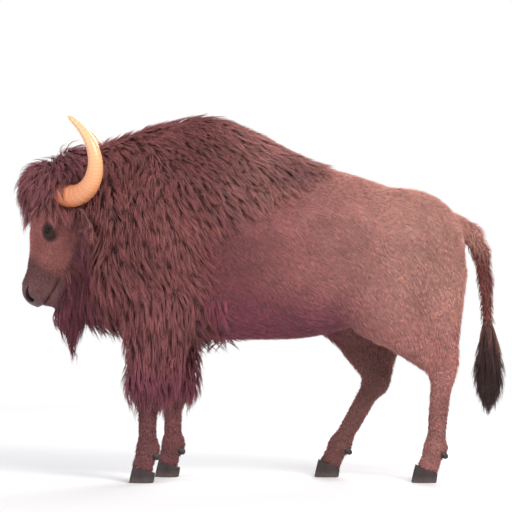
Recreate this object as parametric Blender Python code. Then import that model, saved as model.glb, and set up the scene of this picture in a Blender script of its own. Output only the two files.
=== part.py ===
"""A life-size standing wisent bull (Bison bonasus), as a still museum model.

The animal faces -X, its left side is -Y, +Z is up, and all sizes are metres. The outline of the
whole coat is one smooth field: a trunk that follows named stations, and ellipsoids and tapered
bones for the neck, head, legs, tail and the masses of long hair. The field's zero surface is
meshed, thinned, and parted with thin cuts into the named pieces. Horns, ears, eyes, claws and
dewclaws are solids of their own, set into sockets.
"""
import math

import bmesh
import bpy
import numpy as np
from mathutils import Matrix, Vector

# ---------------------------------------------------------------- driving dimensions
LEFT, RIGHT = -1, 1
SIDE_NAMES = {LEFT: "left", RIGHT: "right"}

# Trunk stations: x, top, bottom, half width, and how much the upper part narrows.
TRUNK = {
    "chest": (-0.72, 1.640, 0.830, 0.255, 0.40),
    "shoulder": (-0.52, 1.775, 0.755, 0.325, 0.54),
    "hump": (-0.31, 1.820, 0.725, 0.350, 0.60),
    "withers": (-0.05, 1.730, 0.715, 0.350, 0.56),
    "back": (0.20, 1.600, 0.725, 0.340, 0.42),
    "loin": (0.45, 1.528, 0.785, 0.310, 0.28),
    "croup": (0.70, 1.440, 0.870, 0.282, 0.20),
}
FRONT_CAP, REAR_CAP = 0.16, 0.285   # how far the rounded ends reach past the stations
EGG = 2.25                          # exponent of the trunk's rounded section
LEAST_WIDTH = 0.2                   # share of the width kept above the ridge of the back

# Head frame: from the poll along the nose, sideways, and out of the brow.
POLL_X, POLL_Z = -1.045, 1.505
HEAD_DROP = math.radians(68)
HEAD_SCALE = 1.07

# Leg joints. A foreleg hangs from the elbow; its foot's x sets the rest.
FORE_Y, HIND_Y = 0.175, 0.165
ELBOW_X, ELBOW_Z = -0.515, 0.900
KNEE_Z, FETLOCK_Z, CORONET_Z = 0.475, 0.165, 0.072
FORE_FOOT_X = {LEFT: -0.615, RIGHT: -0.500}
HIND_JOINTS = {
    LEFT: {"hip": (0.66, 1.18), "stifle": (0.520, 0.84), "hock": (0.872, 0.560),
           "fetlock": (0.836, 0.170), "foot": (0.795, 0.060)},
    RIGHT: {"hip": (0.64, 1.18), "stifle": (0.350, 0.83), "hock": (0.560, 0.505),
            "fetlock": (0.370, 0.165), "foot": (0.318, 0.060)},
}

TAIL = ((0.955, 1.280), (1.035, 1.235), (1.080, 1.150), (1.102, 1.000), (1.112, 0.780))
TAIL_RADII = (0.056, 0.044, 0.035, 0.027, 0.020)

EYE_SPOT, EYE_RADIUS = (0.235, 0.146, -0.050), 0.0250   # head frame, unscaled
EAR_SPOT = (0.125, 0.160, -0.140)
EAR_LENGTH, EAR_WIDTH, EAR_THICKNESS = 0.190, 0.092, 0.009

HORN_SPOT = (0.050, 0.100, -0.030)
HORN_STEPS = ((0, 0, 0), (0.17, 0.19, -0.08), (0.29, 0.30, 0.20), (0.045, 0.175, 0.380))
HORN_BASE_RADIUS, HORN_TIP_RADIUS = 0.060, 0.007

GRID_STEP = 0.018        # spacing of the grid that the coat's surface is read from
COAT_TRIANGLES = 3500    # what the thinned surface keeps before it is parted
BODY_NAME = "forequarters"   # what is left of the body once the other pieces are cut from it
GAP = 0.0003             # clearance between neighbouring pieces
SOCKET_GAP = 0.0005      # clearance round what is set into a socket
FAR = 9.0                # distance given where no shape is near
REACH = 0.26             # how far round a shape its distance is worked out


# ---------------------------------------------------------------- shapes as distance fields
NOSEWARD = np.array([-math.cos(HEAD_DROP), 0.0, -math.sin(HEAD_DROP)])
BROWWARD = np.array([-math.sin(HEAD_DROP), 0.0, math.cos(HEAD_DROP)])
POLL = np.array([POLL_X, 0.0, POLL_Z])


def head_point(along, side, out):
    """A place in the head frame, in the animal's own frame."""
    place = POLL + HEAD_SCALE * (along * NOSEWARD + out * BROWWARD)
    return (place[0], side * HEAD_SCALE, place[2])


def in_head_frame(points):
    away = (points - POLL) / HEAD_SCALE
    return np.stack([away @ NOSEWARD, away[:, 1], away @ BROWWARD], axis=1)


def smooth_min(a, b, blend):
    share = np.clip(0.5 + 0.5 * (b - a) / blend, 0, 1)
    return b + (a - b) * share - blend * share * (1 - share)


def ramp(value, start, end):
    """0 before start, 1 after end, and smooth between."""
    t = np.clip((value - start) / (end - start), 0, 1)
    return t * t * (3 - 2 * t)


def through(x, stations, values):
    """A smooth curve through the stations, level past the first and last."""
    slopes = np.gradient(values, stations)
    x = np.clip(x, stations[0], stations[-1])
    i = np.clip(np.searchsorted(stations, x) - 1, 0, len(stations) - 2)
    span = stations[i + 1] - stations[i]
    t = (x - stations[i]) / span
    rise = t * t * (3 - 2 * t)
    return (values[i] + (values[i + 1] - values[i]) * rise
            + span * (t * (1 - t) ** 2 * slopes[i] - t * t * (1 - t) * slopes[i + 1]))


def ellipsoid(centre, radii, tilt=0.0, blend=0.06, mirror=False):
    """An ellipsoid whose +X end is lifted by tilt degrees. A mirrored one also stands at -y."""
    turn = math.radians(tilt)
    rearward = np.array([math.cos(turn), 0, math.sin(turn)])
    upward = np.array([-math.sin(turn), 0, math.cos(turn)])
    centre, radii = np.array(centre, float), np.array(radii, float)

    def distance(points):
        away = points - centre
        if mirror:
            away[:, 1] = np.abs(points[:, 1]) - centre[1]
        local = np.stack([away @ rearward, away[:, 1], away @ upward], axis=1)
        share = np.linalg.norm(local / radii, axis=1)
        slope = np.linalg.norm(local / radii ** 2, axis=1)
        return share * (share - 1) / np.maximum(slope, 1e-9)

    return distance, *reach_of([centre], radii.max(), mirror), blend


def bone(start, end, start_radius, end_radius, flat=1.0, blend=0.05, mirror=False):
    """A tapered round rod between two points, flat times as wide (y) as it is deep."""
    start, end = np.array(start, float), np.array(end, float)
    run = (end - start)[[0, 2]]

    def distance(points):
        y = np.abs(points[:, 1]) if mirror else points[:, 1]
        away = points[:, [0, 2]] - start[[0, 2]]
        t = np.clip(away @ run / max(run @ run, 1e-9), 0, 1)
        off = away - t[:, None] * run
        side = (y - start[1] - (end[1] - start[1]) * t) / flat
        return np.sqrt((off ** 2).sum(1) + side ** 2) - start_radius - (end_radius - start_radius) * t

    return distance, *reach_of([start, end], max(start_radius, end_radius), mirror), blend


def reach_of(places, radius, mirror):
    """Corners of the box that holds a shape."""
    low, high = np.min(places, axis=0) - radius, np.max(places, axis=0) + radius
    if mirror:
        low[1] = -high[1]
    return low, high


def trunk():
    """The barrel of the body: a rounded section that changes smoothly along the stations."""
    rows = np.array(list(TRUNK.values()))
    stations = rows[:, 0]
    first, last = stations[0], stations[-1]

    def distance(points):
        x = points[:, 0]
        top, bottom, width, pinch = (through(x, stations, rows[:, i]) for i in range(1, 5))
        cap = np.where(x < first, FRONT_CAP, REAR_CAP)
        beyond = np.maximum(np.maximum(first - x, x - last), 0) / cap
        height = (top - bottom) / 2
        t = (points[:, 2] - (top + bottom) / 2) / height
        width = width * np.maximum(1 - pinch * np.maximum(t, 0) ** 1.5, LEAST_WIDTH)
        across, up = np.abs(points[:, 1]) / width, np.abs(t)
        size = np.maximum((across ** EGG + up ** EGG + beyond ** EGG) ** (1 / EGG), 1e-6)
        slopes = [(share / size) ** (EGG - 1) / over
                  for share, over in ((across, width), (up, height), (beyond, cap))]
        return (size - 1) / np.sqrt(sum(slope ** 2 for slope in slopes))

    low = np.array([first - FRONT_CAP, -rows[:, 3].max(), rows[:, 2].min()])
    high = np.array([last + REAR_CAP, rows[:, 3].max(), rows[:, 1].max()])
    return distance, low, high, 0.06


def neck():
    return [
        bone((-0.60, 0, 1.35), (-0.92, 0, 1.37), 0.370, 0.215, 0.66, 0.12),
        bone((-0.62, 0, 1.02), (-0.90, 0, 1.20), 0.215, 0.135, 0.80, 0.10),
        bone((-0.62, 0, 1.52), (-0.98, 0, 1.46), 0.195, 0.135, 0.75, 0.10),
    ]


def foreleg(side):
    foot_x, y = FORE_FOOT_X[side], side * FORE_Y
    elbow = (ELBOW_X, y + 0.02 * side, ELBOW_Z)
    knee = (foot_x + 0.012, y, KNEE_Z)
    fetlock = (foot_x + 0.016, y, FETLOCK_Z)
    coronet = (foot_x - 0.012, y, CORONET_Z)
    return [
        ellipsoid((-0.50, side * 0.215, 1.20), (0.19, 0.115, 0.36), -14, 0.10),
        bone((-0.665, side * 0.19, 1.06), elbow, 0.145, 0.120, 0.80, 0.08),
        bone(elbow, knee, 0.112, 0.060, 0.86, 0.06),
        ellipsoid((knee[0] - 0.006, y, KNEE_Z), (0.062, 0.054, 0.070), blend=0.03),
        bone(knee, fetlock, 0.047, 0.041, 0.88, 0.03),
        ellipsoid((fetlock[0] + 0.004, y, FETLOCK_Z + 0.004), (0.056, 0.050, 0.048), blend=0.03),
        bone(fetlock, coronet, 0.044, 0.052, 1.0, 0.025),
    ]


def hindleg(side):
    y = side * HIND_Y
    (hip_x, hip_z), (stifle_x, stifle_z), (hock_x, hock_z), (fet_x, fet_z), (foot_x, foot_z) = (
        HIND_JOINTS[side].values())
    haunch = (hip_x + 0.02, side * 0.150, hip_z + 0.01)
    stifle = (stifle_x + 0.05, side * 0.185, stifle_z + 0.03)
    hamstring = ((hip_x + hock_x) / 2 + 0.075, y, 1.00)
    hock, fetlock = (hock_x, y, hock_z), (fet_x, y, fet_z)
    heel = (hock_x + 0.040, y, hock_z + 0.065)
    return [
        bone(haunch, stifle, 0.265, 0.155, 0.54, 0.10),
        bone(stifle, (hock_x - 0.01, y, hock_z + 0.02), 0.152, 0.064, 0.66, 0.06),
        bone(hamstring, heel, 0.150, 0.032, 0.60, 0.08),
        bone(heel, (hock_x + 0.012, y, hock_z - 0.05), 0.031, 0.036, 0.85, 0.025),
        ellipsoid(hock, (0.060, 0.052, 0.075), blend=0.03),
        bone(hock, fetlock, 0.051, 0.042, 0.82, 0.03),
        ellipsoid((fet_x + 0.004, y, fet_z + 0.004), (0.057, 0.050, 0.048), blend=0.03),
        bone(fetlock, (foot_x + 0.006, y, foot_z + 0.015), 0.044, 0.052, 1.0, 0.025),
    ]


def tail():
    return [bone((x0, 0, z0), (x1, 0, z1), r0, r1, 1.0, 0.03)
            for (x0, z0), (x1, z1), r0, r1 in zip(TAIL, TAIL[1:], TAIL_RADII, TAIL_RADII[1:])]


def head():
    """Cranium, brow, eye arches, cheeks, bridge of the nose, muzzle, nostril wings and jaw."""
    return [
        ellipsoid((0.085, 0, -0.070), (0.150, 0.138, 0.130), blend=0.04),
        ellipsoid((0.170, 0, -0.020), (0.150, 0.122, 0.072), blend=0.05),
        ellipsoid((0.215, 0.118, -0.052), (0.062, 0.040, 0.048), blend=0.035, mirror=True),
        ellipsoid((0.245, 0.072, -0.165), (0.135, 0.052, 0.098), 14, 0.05, mirror=True),
        bone((0.200, 0, -0.075), (0.485, 0, -0.092), 0.118, 0.074, 0.92, 0.05),
        ellipsoid((0.510, 0, -0.095), (0.082, 0.088, 0.078), blend=0.035),
        ellipsoid((0.530, 0.052, -0.066), (0.042, 0.036, 0.036), blend=0.025, mirror=True),
        bone((0.250, 0, -0.215), (0.500, 0, -0.172), 0.070, 0.048, 0.85, 0.04),
        ellipsoid((0.505, 0, -0.170), (0.050, 0.056, 0.040), blend=0.03),
        ellipsoid((0.060, 0, -0.180), (0.120, 0.125, 0.150), blend=0.06),
    ]


def brow_hair():
    """The mop over the brow, the tuft on the crown and the hair round the ears, in the head frame."""
    return [
        ellipsoid((0.065, 0, 0.060), (0.150, 0.150, 0.130), blend=0.05),
        ellipsoid((-0.040, 0, -0.045), (0.115, 0.140, 0.130), blend=0.05),
        ellipsoid((-0.130, 0, -0.020), (0.075, 0.100, 0.085), blend=0.04),
        ellipsoid((0.050, 0.120, -0.130), (0.125, 0.060, 0.110), blend=0.05, mirror=True),
    ]


def long_hair():
    """The hanging hair of the throat, brisket, chin, forearms and tail."""
    chin_x, _, chin_z = head_point(0.46, 0, -0.185)
    throat = head_point(0.30, 0, -0.24)
    forearms = [bone((ELBOW_X - 0.020, side * 0.200, 0.90), (FORE_FOOT_X[side] + 0.030, side * FORE_Y, 0.47),
                     0.210, 0.142, 0.72, 0.06) for side in (LEFT, RIGHT)]
    return [
        bone((-0.88, 0, 1.16), (-0.82, 0, 0.88), 0.155, 0.120, 0.75, 0.08),
        bone((-0.82, 0, 0.90), (-0.55, 0, 0.76), 0.130, 0.120, 0.85, 0.08),
        bone((-0.55, 0, 0.76), (-0.15, 0, 0.74), 0.115, 0.060, 1.0, 0.08),
        *forearms,
        ellipsoid((1.117, 0, 0.590), (0.078, 0.066, 0.230), blend=0.04),
        bone((1.117, 0, 0.50), (1.110, 0, 0.34), 0.060, 0.018, 0.85, 0.05),
        bone((chin_x + 0.02, 0, chin_z + 0.02), (chin_x + 0.035, 0, chin_z - 0.14), 0.098, 0.088, 0.66, 0.05),
        bone((chin_x + 0.035, 0, chin_z - 0.14), (chin_x + 0.055, 0, chin_z - 0.30), 0.088, 0.024, 0.66, 0.05),
        bone(throat, (-0.92, 0, 0.92), 0.090, 0.060, 0.66, 0.05),
    ]


def union(shapes, points, start=None):
    found = np.full(len(points), FAR) if start is None else start.copy()
    for distance, low, high, blend in shapes:
        near = np.all((points > low - REACH) & (points < high + REACH), axis=1)
        if near.any():
            found[near] = smooth_min(found[near], distance(points[near]), blend)
    return found


FLESH = [trunk(), *neck(), *foreleg(LEFT), *foreleg(RIGHT), *hindleg(LEFT), *hindleg(RIGHT), *tail()]
HEAD, BROW_HAIR, LONG_HAIR = head(), brow_hair(), long_hair()


def skin_field(points):
    """Distance to the skin, negative inside."""
    in_head = in_head_frame(points)
    return smooth_min(union(FLESH, points), HEAD_SCALE * union(HEAD, in_head), 0.07)


def cape_share(points):
    """1 on the long-haired fore part, 0 behind the slanting edge of the cape."""
    edge = -0.33 + 0.62 * ramp(points[:, 2], 1.16, 1.62)
    return 1 - ramp(points[:, 0] - edge, -0.10, 0.10)


def coat_depth(points):
    """How far the tips of the coat stand off the skin."""
    x, z = points[:, 0], points[:, 2]
    in_head = in_head_frame(points)
    depth = 0.020 + 0.024 * cape_share(points) + 0.020 * ramp(-x, 0.45, 0.85) * ramp(z, 0.8, 1.1)
    shank = 1 - ramp(z, 0.42, 0.75)
    depth = depth * (1 - shank) + 0.010 * shank
    face = ramp(in_head[:, 0], 0.13, 0.20) * ramp(in_head[:, 2], -0.32, -0.24) * ramp(-x, 0.86, 0.96)
    from_eye = np.linalg.norm((in_head - EYE_SPOT) * (1, 0, 1), axis=1)
    bare = np.maximum(ramp(in_head[:, 0], 0.40, 0.50), 1 - ramp(from_eye, 0.025, 0.060))
    face_depth = 0.012 - 0.009 * bare
    return depth * (1 - face) + face_depth * face


def coat_field(points):
    """Distance to the tips of the coat, negative inside."""
    body = union(LONG_HAIR, points, skin_field(points) - coat_depth(points))
    return smooth_min(body, HEAD_SCALE * union(BROW_HAIR, in_head_frame(points)), 0.05)


# ---------------------------------------------------------------- meshing the field
GRID_LOW, GRID_HIGH = (-1.50, -0.52, -0.10), (1.28, 0.52, 2.00)
BLOCK = 4          # the grid is filled in blocks of this many steps, near the surface only


def grid_values():
    """The coat field on a regular grid. Away from the surface only its sign is worked out."""
    low, block = np.array(GRID_LOW), GRID_STEP * BLOCK
    blocks = np.ceil((np.array(GRID_HIGH) - low) / block).astype(int)
    centres = [low[i] + block * (np.arange(blocks[i]) + 0.5) for i in range(3)]
    at_centre = coat_field(np.stack(np.meshgrid(*centres, indexing="ij"), -1).reshape(-1, 3))
    far_values = np.where(at_centre < 0, -FAR, FAR).reshape(blocks)
    for axis in range(3):
        far_values = np.repeat(far_values, BLOCK, axis)
    values = np.pad(far_values, ((0, 1),) * 3, mode="edge")
    near = np.argwhere(np.abs(at_centre).reshape(blocks) < block * 1.6)
    step = np.arange(BLOCK + 1)
    inner = np.stack(np.meshgrid(step, step, step, indexing="ij"), -1).reshape(-1, 3)
    nodes = np.unique((near[:, None, :] * BLOCK + inner[None]).reshape(-1, 3), axis=0)
    values[tuple(nodes.T)] = coat_field(low + nodes * GRID_STEP)
    return values


def surface_net(values):
    """Points and quads of the zero surface: one point for each grid cell that it crosses."""
    inside = values < 0
    shape = np.array(values.shape) - 1
    corners = [(i, j, k) for i in (0, 1) for j in (0, 1) for k in (0, 1)]

    def shifted(grid, corner):
        return grid[tuple(slice(c, c + n) for c, n in zip(corner, shape))]

    held = sum(shifted(inside, corner).astype(int) for corner in corners)
    crossed = (held > 0) & (held < len(corners))
    cells = np.argwhere(crossed)
    number = np.full(crossed.shape, -1)
    number[crossed] = np.arange(len(cells))
    place, count = np.zeros((len(cells), 3)), np.zeros(len(cells))
    for corner in corners:
        for axis in range(3):
            if corner[axis]:
                continue
            step = np.eye(3, dtype=int)[axis]
            start = values[tuple((cells + corner).T)]
            end = values[tuple((cells + corner + step).T)]
            cuts = (start < 0) != (end < 0)
            share = np.clip(np.where(cuts, start / np.where(cuts, start - end, 1), 0), 0.02, 0.98)
            place += np.where(cuts[:, None], corner + share[:, None] * step, 0)
            count += cuts
    points = np.array(GRID_LOW) + (cells + place / count[:, None]) * GRID_STEP
    quads, none = [], np.zeros(3, dtype=int)
    for axis in range(3):
        one, two = (np.eye(3, dtype=int)[i] for i in range(3) if i != axis)
        start = inside[tuple(slice(0, -1) if i == axis else slice(None) for i in range(3))]
        end = inside[tuple(slice(1, None) if i == axis else slice(None) for i in range(3))]
        edges = np.argwhere(start != end)
        leaves = start[tuple(edges.T)] != (axis == 1)
        ring = np.stack([number[tuple((edges - back).T)] for back in (one + two, two, none, one)], 1)
        quads.append(np.where(leaves[:, None], ring, ring[:, ::-1]))
    return points, np.concatenate(quads)


def settled(points, passes=2, probe=0.002, most=0.01):
    """The points moved onto the field's zero surface."""
    for _ in range(passes):
        slope = np.stack([(coat_field(points + probe * axis) - coat_field(points - probe * axis)) / (2 * probe)
                          for axis in np.eye(3)], axis=1)
        move = -(coat_field(points) / np.maximum((slope ** 2).sum(1), 0.05))[:, None] * slope
        length = np.maximum(np.linalg.norm(move, axis=1, keepdims=True), 1e-9)
        points = points + move * np.minimum(1, most / length)
    return points


# ---------------------------------------------------------------- Blender helpers
def add_object(name, mesh, material):
    solid = bpy.data.objects.new(name, mesh)
    bpy.context.scene.collection.objects.link(solid)
    mesh.materials.clear()
    mesh.materials.append(material)
    mesh.shade_smooth()
    return solid


def mesh_of(points, faces):
    mesh = bpy.data.meshes.new("shape")
    mesh.from_pydata([tuple(map(float, point)) for point in points], [], [tuple(map(int, face)) for face in faces])
    return mesh


def closed_mesh(points, faces):
    """A mesh whose faces all point out, whichever way its rings were wound."""
    mesh = mesh_of(points, faces)
    shape = bmesh.new()
    shape.from_mesh(mesh)
    bmesh.ops.recalc_face_normals(shape, faces=shape.faces)
    shape.to_mesh(mesh)
    shape.free()
    return mesh


def keep_result(solid):
    """Replaces the object's mesh with what its modifiers make of it."""
    bpy.context.view_layer.update()
    graph = bpy.context.evaluated_depsgraph_get()
    made = bpy.data.meshes.new_from_object(solid.evaluated_get(graph))
    solid.modifiers.clear()
    solid.data = made


def carve(solid, cutter, operation="DIFFERENCE"):
    cut = solid.modifiers.new("cut", "BOOLEAN")
    cut.operation = operation
    cut.object = cutter
    keep_result(solid)


def remove(solid):
    bpy.data.objects.remove(solid)


def cutter_box(top, size, tilt, grow=0.0):
    """A box that hangs from the middle of its top, with its +X end lifted by tilt degrees."""
    shape = bmesh.new()
    bmesh.ops.create_cube(shape, size=1)
    scale = Matrix.Diagonal(Vector((*(edge + 2 * grow for edge in size), 1)))
    turn = Matrix.Rotation(math.radians(-tilt), 4, "Y")
    shape.transform(Matrix.Translation(top) @ turn @ Matrix.Translation((0, 0, -size[2] / 2)) @ scale)
    mesh = bpy.data.meshes.new("cutter")
    shape.to_mesh(mesh)
    shape.free()
    box = bpy.data.objects.new("cutter", mesh)
    box.hide_render = True
    box.display_type = "WIRE"
    bpy.context.scene.collection.objects.link(box)
    return box


def rings_mesh(rings):
    """A closed tube through rings of equal length, with flat ends."""
    count = len(rings[0])
    points = [point for ring in rings for point in ring]
    faces = [(r * count + i, r * count + (i + 1) % count, (r + 1) * count + (i + 1) % count, (r + 1) * count + i)
             for r in range(len(rings) - 1) for i in range(count)]
    faces.append(tuple(range(count)))
    faces.append(tuple(range((len(rings) - 1) * count, len(rings) * count)))
    return closed_mesh(points, faces)


def make_material(name, colour, roughness):
    material = bpy.data.materials.new(name)
    material.use_nodes = True
    surface = material.node_tree.nodes["Principled BSDF"]
    surface.inputs["Base Color"].default_value = (*colour, 1)
    surface.inputs["Roughness"].default_value = roughness
    surface.inputs["Metallic"].default_value = 0.0
    return material


# ---------------------------------------------------------------- horns, ears, eyes and claws
HORN_RINGS, HORN_SIDES, HORN_TAPER = 13, 10, 0.62


def horn_curve(side):
    """Control points of the horn: out of the brow's side, back, up, and forward to the tip."""
    base = np.array(head_point(HORN_SPOT[0], HORN_SPOT[1] * side, HORN_SPOT[2]))
    return [base + np.array([x, y * side, z]) for x, y, z in HORN_STEPS]


def horn_mesh(side):
    """A tapered tube along a cubic curve. Its base lies inside the head."""
    a, b, c, d = horn_curve(side)
    across = Vector((0, 0, 1))
    rings = []
    for t in np.linspace(0, 1, HORN_RINGS):
        place = Vector((1 - t) ** 3 * a + 3 * t * (1 - t) ** 2 * b + 3 * t * t * (1 - t) * c + t ** 3 * d)
        along = Vector((1 - t) ** 2 * (b - a) + 2 * t * (1 - t) * (c - b) + t * t * (d - c)).normalized()
        across = (across - across.dot(along) * along).normalized()
        up = across.cross(along)
        taper = float(1 - t) ** HORN_TAPER
        radius = HORN_TIP_RADIUS + (HORN_BASE_RADIUS - HORN_TIP_RADIUS) * taper
        turns = (2 * math.pi * i / HORN_SIDES for i in range(HORN_SIDES))
        rings.append([place + radius * (math.cos(turn) * across + math.sin(turn) * up) for turn in turns])
    return rings_mesh(rings)


EAR_STEPS, EAR_SIDES = 7, 8
EAR_ALONG, EAR_FACING = (0.42, 0.84, -0.26), (-0.80, 0.50, -0.10)   # for the right ear


def ear_mesh(side):
    """A cupped leaf that points out, back and a little down, with its hollow to the front."""
    mirror = np.array([1, side, 1])
    root = Vector(head_point(*(EAR_SPOT * mirror)))
    along = Vector(EAR_ALONG * mirror).normalized()
    facing = Vector(EAR_FACING * mirror)
    facing = (facing - facing.dot(along) * along).normalized()
    across = along.cross(facing)
    rings = []
    for step in range(EAR_STEPS + 1):
        t = step / EAR_STEPS
        width = EAR_WIDTH / 2 * math.sin(math.pi * (0.12 + 0.88 * t) ** 0.75) + 0.004
        middle = root + along * (t * EAR_LENGTH)
        ring = []
        for i in range(EAR_SIDES):
            turn = 2 * math.pi * i / EAR_SIDES
            cupping = 0.42 * width * math.sin(turn) ** 2
            depth = math.sin(turn) * EAR_THICKNESS / 2 - cupping
            ring.append(middle + across * math.cos(turn) * width + facing * depth)
        rings.append(ring)
    return rings_mesh(rings)


EYE_SIDES = 10


def eye_mesh(side):
    shape = bmesh.new()
    bmesh.ops.create_uvsphere(shape, u_segments=EYE_SIDES, v_segments=EYE_SIDES // 2 + 1, radius=EYE_RADIUS)
    shape.transform(Matrix.Translation(head_point(EYE_SPOT[0], EYE_SPOT[1] * side, EYE_SPOT[2])))
    mesh = bpy.data.meshes.new("eye")
    shape.to_mesh(mesh)
    shape.free()
    return mesh


CLAW_LENGTH, CLAW_WIDTH, CLAW_GAP = 0.122, 0.060, 0.007
CORONET_TILT = -20.0      # degrees: the hoof is taller in front
CORONET_RISE = 0.058      # height of the coronet at the foot's middle
CLAW_SIDES = 12


def coronet_height(forward):
    """Height of the hoof's upper edge, at a distance in front of the foot's middle."""
    return CORONET_RISE + forward * math.tan(math.radians(-CORONET_TILT))


def claw_mesh(foot_x, foot_y, outward):
    """One toe of a cloven hoof: pointed in front, round behind, flat below and on its inner side."""
    rings = []
    for level, (shrink, back) in enumerate(((1.0, 0.0), (0.985, 0.003), (0.90, 0.012))):
        ring = []
        for i in range(CLAW_SIDES):
            turn = 2 * math.pi * i / CLAW_SIDES
            forward = math.cos(turn) * CLAW_LENGTH / 2
            point = 1 - 0.30 * ramp(forward, 0.0, CLAW_LENGTH / 2)
            side = math.sin(turn) * CLAW_WIDTH / 2 * point
            side = side * (0.72 if side < 0 else 1.0) + CLAW_WIDTH / 2 * 0.72 + CLAW_GAP / 2
            forward = forward * shrink + 0.016 - back
            top = coronet_height(forward) - GAP
            height = (0.0, 0.30 * top, top)[level]
            ring.append((foot_x - forward, foot_y + outward * side * shrink, height))
        rings.append(ring)
    return rings_mesh(rings)


DEWCLAW_SIDES = 6


def dewclaw_mesh(fetlock, outward):
    """A small blunt cone behind the fetlock."""
    x, y, z = fetlock
    root = Vector((x + 0.028, y + outward * 0.026, z - 0.022))
    along = Vector((0.80, 0.12 * outward, -0.60)).normalized()
    across = along.cross(Vector((0, 1, 0))).normalized()
    up = across.cross(along)
    rings = []
    for distance, radius in ((0.0, 0.017), (0.028, 0.015), (0.041, 0.007)):
        turns = (2 * math.pi * i / DEWCLAW_SIDES for i in range(DEWCLAW_SIDES))
        rings.append([root + along * distance + radius * (math.cos(turn) * across + math.sin(turn) * up)
                      for turn in turns])
    return rings_mesh(rings)


# ---------------------------------------------------------------- parting the body
def foot_places():
    """Foot name, its side, and the x of its foot and fetlock."""
    for side, name in SIDE_NAMES.items():
        yield f"foreleg_{name}", side, FORE_FOOT_X[side], (FORE_FOOT_X[side] + 0.016, side * FORE_Y, FETLOCK_Z)
    for side, name in SIDE_NAMES.items():
        joints = HIND_JOINTS[side]
        fetlock_x, fetlock_z = joints["fetlock"]
        yield f"hindleg_{name}", side, joints["foot"][0], (fetlock_x, side * HIND_Y, fetlock_z)


def cuts():
    """Where each piece is cut from: its name, the piece that holds it, and the middle of the cutting
    box's top, its size and its tilt. They are in the order of cutting."""
    yield "tail_tuft", BODY_NAME, (1.145, 0, 0.80), (0.24, 0.40, 0.60), 0
    yield "tail", BODY_NAME, (1.108, 0, 1.45), (0.24, 0.30, 0.80), 3.5
    for side, name in SIDE_NAMES.items():
        upper, lower = f"foreleg_{name}_upper", f"foreleg_{name}_lower"
        yield upper, BODY_NAME, (-0.535, side * 0.27, 0.74), (0.44, 0.46, 0.90), 0
        yield lower, upper, (FORE_FOOT_X[side], side * 0.25, KNEE_Z - 0.040), (0.50, 0.44, 0.50), 0
    for side, name in SIDE_NAMES.items():
        upper, lower = f"hindleg_{name}_upper", f"hindleg_{name}_lower"
        hock_x, hock_z = HIND_JOINTS[side]["hock"]
        stifle_x = HIND_JOINTS[side]["stifle"][0]
        yield upper, BODY_NAME, (stifle_x + 0.17, side * 0.27, 0.915), (1.30, 0.46, 1.30), 19
        yield lower, upper, (hock_x - 0.1, side * 0.25, hock_z - 0.075), (0.80, 0.44, 0.50), 0
    yield "head", BODY_NAME, (-1.25, 0, 2.10), (1.00, 1.00, 1.80), -6
    jaw_x, _, jaw_z = head_point(0.40, 0, -0.262)
    yield "beard", "head", (jaw_x - 0.03, 0, jaw_z), (0.80, 0.60, 0.50), -16
    yield "neck", BODY_NAME, (-1.08, 0, 2.08), (1.00, 1.20, 1.70), -5
    yield "rump", BODY_NAME, (1.07, 0, 1.90), (1.20, 1.20, 1.40), 0
    yield "barrel", BODY_NAME, (0.21, 0, 1.90), (0.52, 1.20, 1.40), 0


def thinned_body(material):
    points, quads = surface_net(grid_values())
    body = add_object(BODY_NAME, mesh_of(settled(points), quads), material)
    thin = body.modifiers.new("thin", "DECIMATE")
    thin.ratio = COAT_TRIANGLES / (2 * len(quads))
    thin.use_collapse_triangulate = True
    keep_result(body)
    return body


def trim_feet(body):
    """Cuts the feet off along the coronets, where the claws take over."""
    for _, side, foot_x, (_, y, _) in foot_places():
        below = cutter_box((foot_x, y, CORONET_RISE), (0.30, 0.20, 0.20), CORONET_TILT)
        carve(body, below)
        remove(below)


def part_body(body, materials):
    """Takes each piece out of the one that holds it. What is left of the whole is the forequarters."""
    pieces = {BODY_NAME: body}
    for name, holder, top, size, tilt in cuts():
        piece = add_object(name, pieces[holder].data.copy(), materials(name))
        box = cutter_box(top, size, tilt)
        carve(piece, box, "INTERSECT")
        remove(box)
        wider = cutter_box(top, size, tilt, grow=GAP)
        carve(pieces[holder], wider)
        remove(wider)
        pieces[name] = piece
    return pieces


def set_in(host, solid):
    """Cuts a solid's socket, a gap wider all round, out of the piece that holds it."""
    shape = bmesh.new()
    shape.from_mesh(solid.data)
    shape.normal_update()
    moves = [vert.normal * vert.calc_shell_factor() * SOCKET_GAP for vert in shape.verts]
    for vert, move in zip(shape.verts, moves):
        vert.co += move
    mesh = bpy.data.meshes.new("socket")
    shape.to_mesh(mesh)
    shape.free()
    socket = bpy.data.objects.new("socket", mesh)
    bpy.context.scene.collection.objects.link(socket)
    carve(host, socket)
    remove(socket)


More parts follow.
